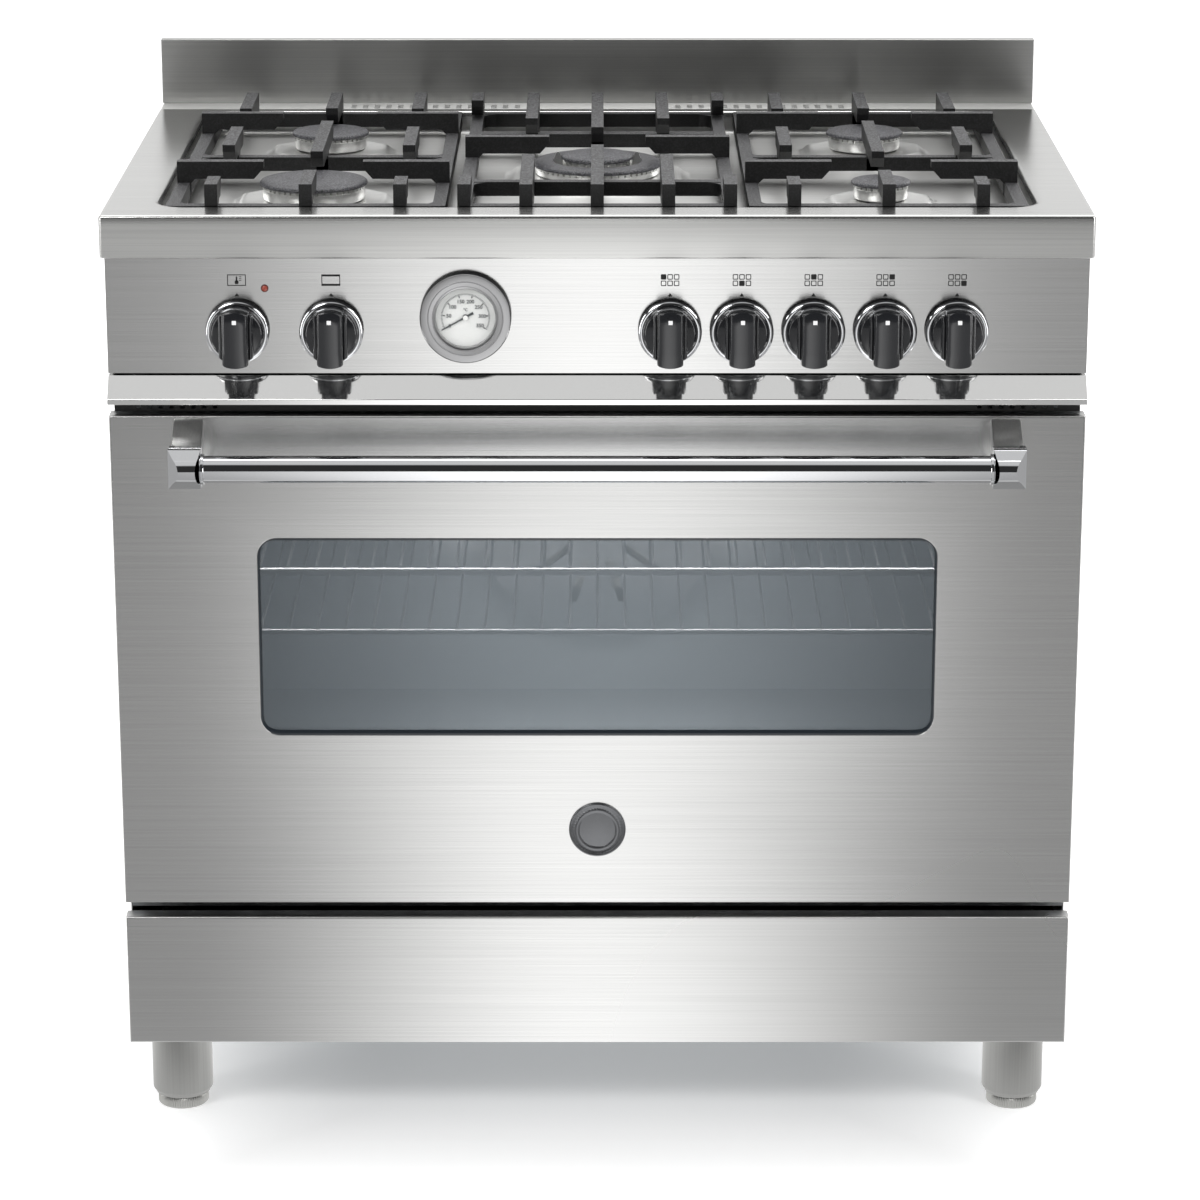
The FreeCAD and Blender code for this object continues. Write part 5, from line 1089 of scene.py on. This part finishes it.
def speckled(name, dark, light, roughness, size, depth, painted_top_light=None):
    """Rough enamel: small light flecks, size mm across, in a dark ground with a fine pitted bump.

    The last argument is the flecks' colour on faces that look up: a painted highlight, the tops made
    lighter as light from above falls on them.
    """
    finish, tree = new_material(name)
    where = add_node(tree, "TexCoord")
    fleck = add_node(tree, "TexNoise", {"Vector": where.outputs["Object"], "Scale": 1000 / size,
                                        "Detail": 1.5})
    share = add_node(tree, "MapRange", {"Value": fleck.outputs[0], "From Min": 0.42, "From Max": 0.68})
    # Faces that look up take the lighter flecks: painted light from above.
    facing = add_node(tree, "NewGeometry")
    axes = add_node(tree, "SeparateXYZ", {0: facing.outputs["Normal"]})
    top = add_node(tree, "MapRange", {"Value": axes.outputs["Z"], "From Min": 0.5, "From Max": 0.95})
    painted_top_flecks = add_node(tree, "Mix", {"Factor": top.outputs[0], 6: linear(light), 7: linear(painted_top_light or light)},
                      data_type="RGBA")
    colour = add_node(tree, "Mix", {"Factor": share.outputs[0], 6: linear(dark), 7: painted_top_flecks.outputs[2]},
                      data_type="RGBA")
    bump = add_node(tree, "Bump", {"Strength": 1.0, "Distance": depth * MM, "Height": fleck.outputs[0]})
    body = add_node(tree, "BsdfPrincipled", {"Base Color": colour.outputs[2], "Roughness": roughness,
                                             "Normal": bump.outputs[0]})
    add_node(tree, "OutputMaterial", {"Surface": body.outputs[0]})
    return finish


# Rings: pale cast aluminium, skimmed on a lathe, with a satin shine.
ring_metal = plain("machined cast aluminium", "#f0f0ee", metallic=1.0, roughness=0.3, grit=0.015, size=0.8)
# Caps: charcoal enamel with a rough grey speckle, almost without shine.
cap_enamel = speckled("rough black enamel cap", "#303033", "#707074", 0.45, size=1.3, depth=0.08)
DISH_TOP = WELL_FLOOR + DISH_RISE
PORT_SHARE, POINTS_PER_PORT = 0.22, 12


def ported(count, depth=2.4, beyond=10, above=11.2):
    """Ports round a flame ring: the radius drops where cos(count a) is high, near the top edge only."""
    def swell(angle, radius, height):
        wave = np.cos(angle * count) > math.cos(math.pi * PORT_SHARE)
        return np.where(wave & (radius > beyond) & (height > above), -depth, 0.0)
    return swell


ring_shells, cap_shells = [], []
for label, (x, y, radius, count) in BURNERS.items():
    if label == "wok":
        continue
    ring = [(0, 0), (radius - 5, 0), (radius - 3.2, 1.2), (radius - 2.6, 3.0), (radius - 2.6, 10.6),
            (radius - 2.2, 11.1), (radius - 2.2, 11.3), (radius - 2.2, 14.0), (0, 14.0)]
    ring_shells.append(moved(turned(ring, count * POINTS_PER_PORT, ported(count)), x, y, DISH_TOP))
    cap = [(0, 13.9), (radius - 1.0, 13.9), (radius - 0.2, 14.3), (radius, 15.0), (radius - 0.1, 16.2),
           (radius - 1.0, 17.3), (radius - 2.6, 17.9), (radius * 0.6, 18.4), (0, 18.5)]
    cap_shells.append(moved(turned(cap, 96), x, y, DISH_TOP))
x, y, radius, count = BURNERS["wok"]
outer_ring = [(42, 0), (radius - 4, 0), (radius - 2.6, 1.0), (radius - 2.4, 5.2), (radius - 2.2, 5.4),
              (radius - 2.2, 8.0), (42, 8.0)]
outer_ports = ported(count, beyond=50, above=5.3)
ring_shells.append(moved(turned(outer_ring, count * POINTS_PER_PORT, outer_ports), x, y, DISH_TOP))
ring_cap = [(42.5, 8.0), (61.4, 7.9), (62.2, 8.4), (62.4, 9.2), (62.1, 10.4), (61.0, 11.3), (59.0, 11.8),
            (46.0, 12.5), (43.2, 12.4), (42.5, 11.6)]
cap_shells.append(moved(turned(ring_cap, 128), x, y, DISH_TOP))
CORE_PORTS = 26
core = [(0, 0), (37, 0), (37, 2.4), (33, 3.4), (31.8, 5.0), (31.8, 11.2), (31.8, 11.3), (31.8, 14.0),
        (0, 14.0)]
core_ports = ported(CORE_PORTS, depth=2.0)
ring_shells.append(moved(turned(core, CORE_PORTS * POINTS_PER_PORT, core_ports), x, y, DISH_TOP))
core_cap = [(0, 13.9), (33.4, 13.9), (34.2, 14.4), (34.3, 15.4), (33.8, 16.8), (32.4, 17.8), (20, 18.4),
            (0, 18.5)]
cap_shells.append(moved(turned(core_cap, 96), x, y, DISH_TOP))
LUG = [(-5, 0), (5, 0), (4.2, 13.5), (1.0, 20.5), (-1.0, 20.5), (-4.2, 13.5)]
for side in (-38, 38):
    lug = prism([(side + across, up) for across, up in LUG], y - 2, y + 2)
    ring_shells.append(moved(lug, x, 0, DISH_TOP))
add_piece("flame_rings_cast", ring_shells, ring_metal, "cabinet", "flame_aluminium", "flame_rings",
          sharp=30)
add_piece("burner_caps_enamelled", cap_shells, cap_enamel, "cabinet", "cap_enamel", "burner_caps",
          sharp=40)

# ---------------------------------------------------------------- grates
# Three loose castings of iron in matt black enamel: a ring and cross bars that lie in the well,
# and raised fingers with flared roots and tips cut back underneath, over the burners.

# Iron: almost black with a grainy skin; faces that look up get greyer flecks, a painted highlight for the
# light that falls on the tops.
iron = speckled("matt enamelled cast iron", "#080808", "#1e1e1f", 0.48, size=1.4, depth=0.10,
                painted_top_light="#707072")
BAR, TOP, UNDER, TIP, TIP_RUN, ROOT = 12.0, DECK + 20, DECK + 3.5, 6.5, 9, 5
RING_LOW, RING_HIGH = DECK - 13.5, DECK
GRATE_FRONT, GRATE_BACK = box_mm("grate_left")[0][1], box_mm("grate_left")[1][1]
GAP, MIDDLE, HALF_BAR, WEB_RADIUS, CAST_EDGE = 46.5, (WELL_FRONT + WELL_BACK) / 2, BAR / 2, 13.0, 1.3


def finger_side(start, end, low, high):
    """Side view of a raised finger that stands on the ring from low to high.

    It is flat on top, its free tips are cut back underneath, and its root is flared to the ring.
    """
    corners = [(start, TOP), (end, TOP)]
    if high >= end - 0.01:
        corners += [(end, RING_LOW)]
    else:
        corners += [(end, TOP - TIP), (end - TIP_RUN, UNDER), (high + ROOT, UNDER), (high, UNDER - ROOT),
                    (high, RING_LOW)]
    corners += [(low, RING_LOW)]
    if low > start + 0.01:
        corners += [(low, UNDER - ROOT), (low - ROOT, UNDER), (start + TIP_RUN, UNDER), (start, TOP - TIP)]
    return corners


def corner_web(x, y, across, along):
    """Cast fillet in an inner corner of the ring: the corner point and a concave quarter circle.

    The curve is (x + across r (1 - sin a), y + along r (1 - cos a)) for a from 0 to 90 degrees.
    """
    angle = np.linspace(0, np.pi / 2, 7)
    curve = np.stack([x + across * WEB_RADIUS * (1 - np.sin(angle)),
                      y + along * WEB_RADIUS * (1 - np.cos(angle))], -1)
    corners = [(x, y)] + curve.tolist()
    return prism(corners[::across * along], RING_LOW + 0.5, RING_HIGH - 0.6, "XY")


def cast_grate(label, x_low, x_high, bars, rows, fingers):
    """Cast a grate and let it stand for its CAD node.

    bars lists the y of the cross bars inside the ring; rows lists (y, reach) of the arms that come
    in from both sides; fingers lists (x, start, end) of the ones that run from front to back.
    """
    rails = [GRATE_FRONT + HALF_BAR, *bars, GRATE_BACK - HALF_BAR]
    parts = [prism(rounded_box((x_low, x_high), (rail - HALF_BAR, rail + HALF_BAR), 2, 3),
                   RING_LOW, RING_HIGH, "XY") for rail in rails]
    parts += [prism(rounded_box((x, x + BAR), (GRATE_FRONT, GRATE_BACK), 2, 3),
                    RING_LOW, RING_HIGH - 0.02, "XY") for x in (x_low, x_high - BAR)]
    for rail in rails:
        for along in (-1, 1):
            if GRATE_FRONT < rail + along * BAR < GRATE_BACK:
                y = rail + along * (HALF_BAR - 0.1)
                parts += [corner_web(x_low + BAR - 0.1, y, 1, along),
                          corner_web(x_high - BAR + 0.1, y, -1, along)]
    for x, start, end in fingers:
        posts = [rail for rail in rails if start - 0.01 <= rail <= end + 0.01]
        side = finger_side(start, end, posts[0] - HALF_BAR, posts[-1] + HALF_BAR)
        parts.append(prism(side, x - HALF_BAR, x + HALF_BAR, "YZ"))
    for y, reach in rows:
        for side in (finger_side(x_low, x_low + reach, x_low, x_low + BAR),
                     finger_side(x_high - reach, x_high, x_high - BAR, x_high)):
            parts.append(prism(side, y - HALF_BAR, y + HALF_BAR))
    grate = add_piece(f"grate_{label}_casting", parts, iron, f"grate_{label}", "grate_iron",
                      f"grate_{label}", sharp=35)
    edge = grate.modifiers.new("edge", "BEVEL")
    edge.width, edge.segments, edge.limit_method = CAST_EDGE * MM, 2, "ANGLE"


# Side grates: short fingers stand on both wings, at the front, middle and back.
WING, WING_FRONT, WING_MIDDLE, WING_BACK, BACK_GAP = 86, 40, 50, 95, 24
near, far = BURNERS["front_left"][1], BURNERS["rear_left"][1]
for label in ("left", "right"):
    low, high = box_mm(f"grate_{label}")
    x = (low[0] + high[0]) / 2
    arm = (high[0] - low[0]) / 2 - GAP
    fingers = [(x, GRATE_FRONT, near - GAP), (x, near + GAP, far - GAP), (x, far + BACK_GAP, GRATE_BACK)]
    for wing in (x - WING, x + WING):
        fingers += [(wing, GRATE_FRONT, GRATE_FRONT + WING_FRONT),
                    (wing, MIDDLE - WING_MIDDLE, MIDDLE + WING_MIDDLE),
                    (wing, GRATE_BACK - WING_BACK, GRATE_BACK)]
    cast_grate(label, low[0], high[0], [MIDDLE], [(near, arm), (far, arm)], fingers)
# Centre grate: longer fingers each side of the wok burner, short ones over its side rails.
INNER_FINGER, INNER_GAP, CORNER_FINGER, CENTRE_RAIL = 65, 96, 47, 125
half = box_mm("grate_centre")[1][0]
fingers = [(0, GRATE_FRONT, MIDDLE - GAP), (0, MIDDLE + GAP, GRATE_BACK)]
for side in (-1, 1):
    inner, outer = side * INNER_FINGER, side * (half - HALF_BAR)
    fingers += [(inner, GRATE_FRONT, MIDDLE - INNER_GAP), (inner, MIDDLE + INNER_GAP, GRATE_BACK),
                (outer, GRATE_FRONT, GRATE_FRONT + CORNER_FINGER),
                (outer, GRATE_BACK - CORNER_FINGER, GRATE_BACK)]
cast_grate("centre", -half, half, [MIDDLE - CENTRE_RAIL, MIDDLE + CENTRE_RAIL], [(MIDDLE, half - GAP)],
           fingers)
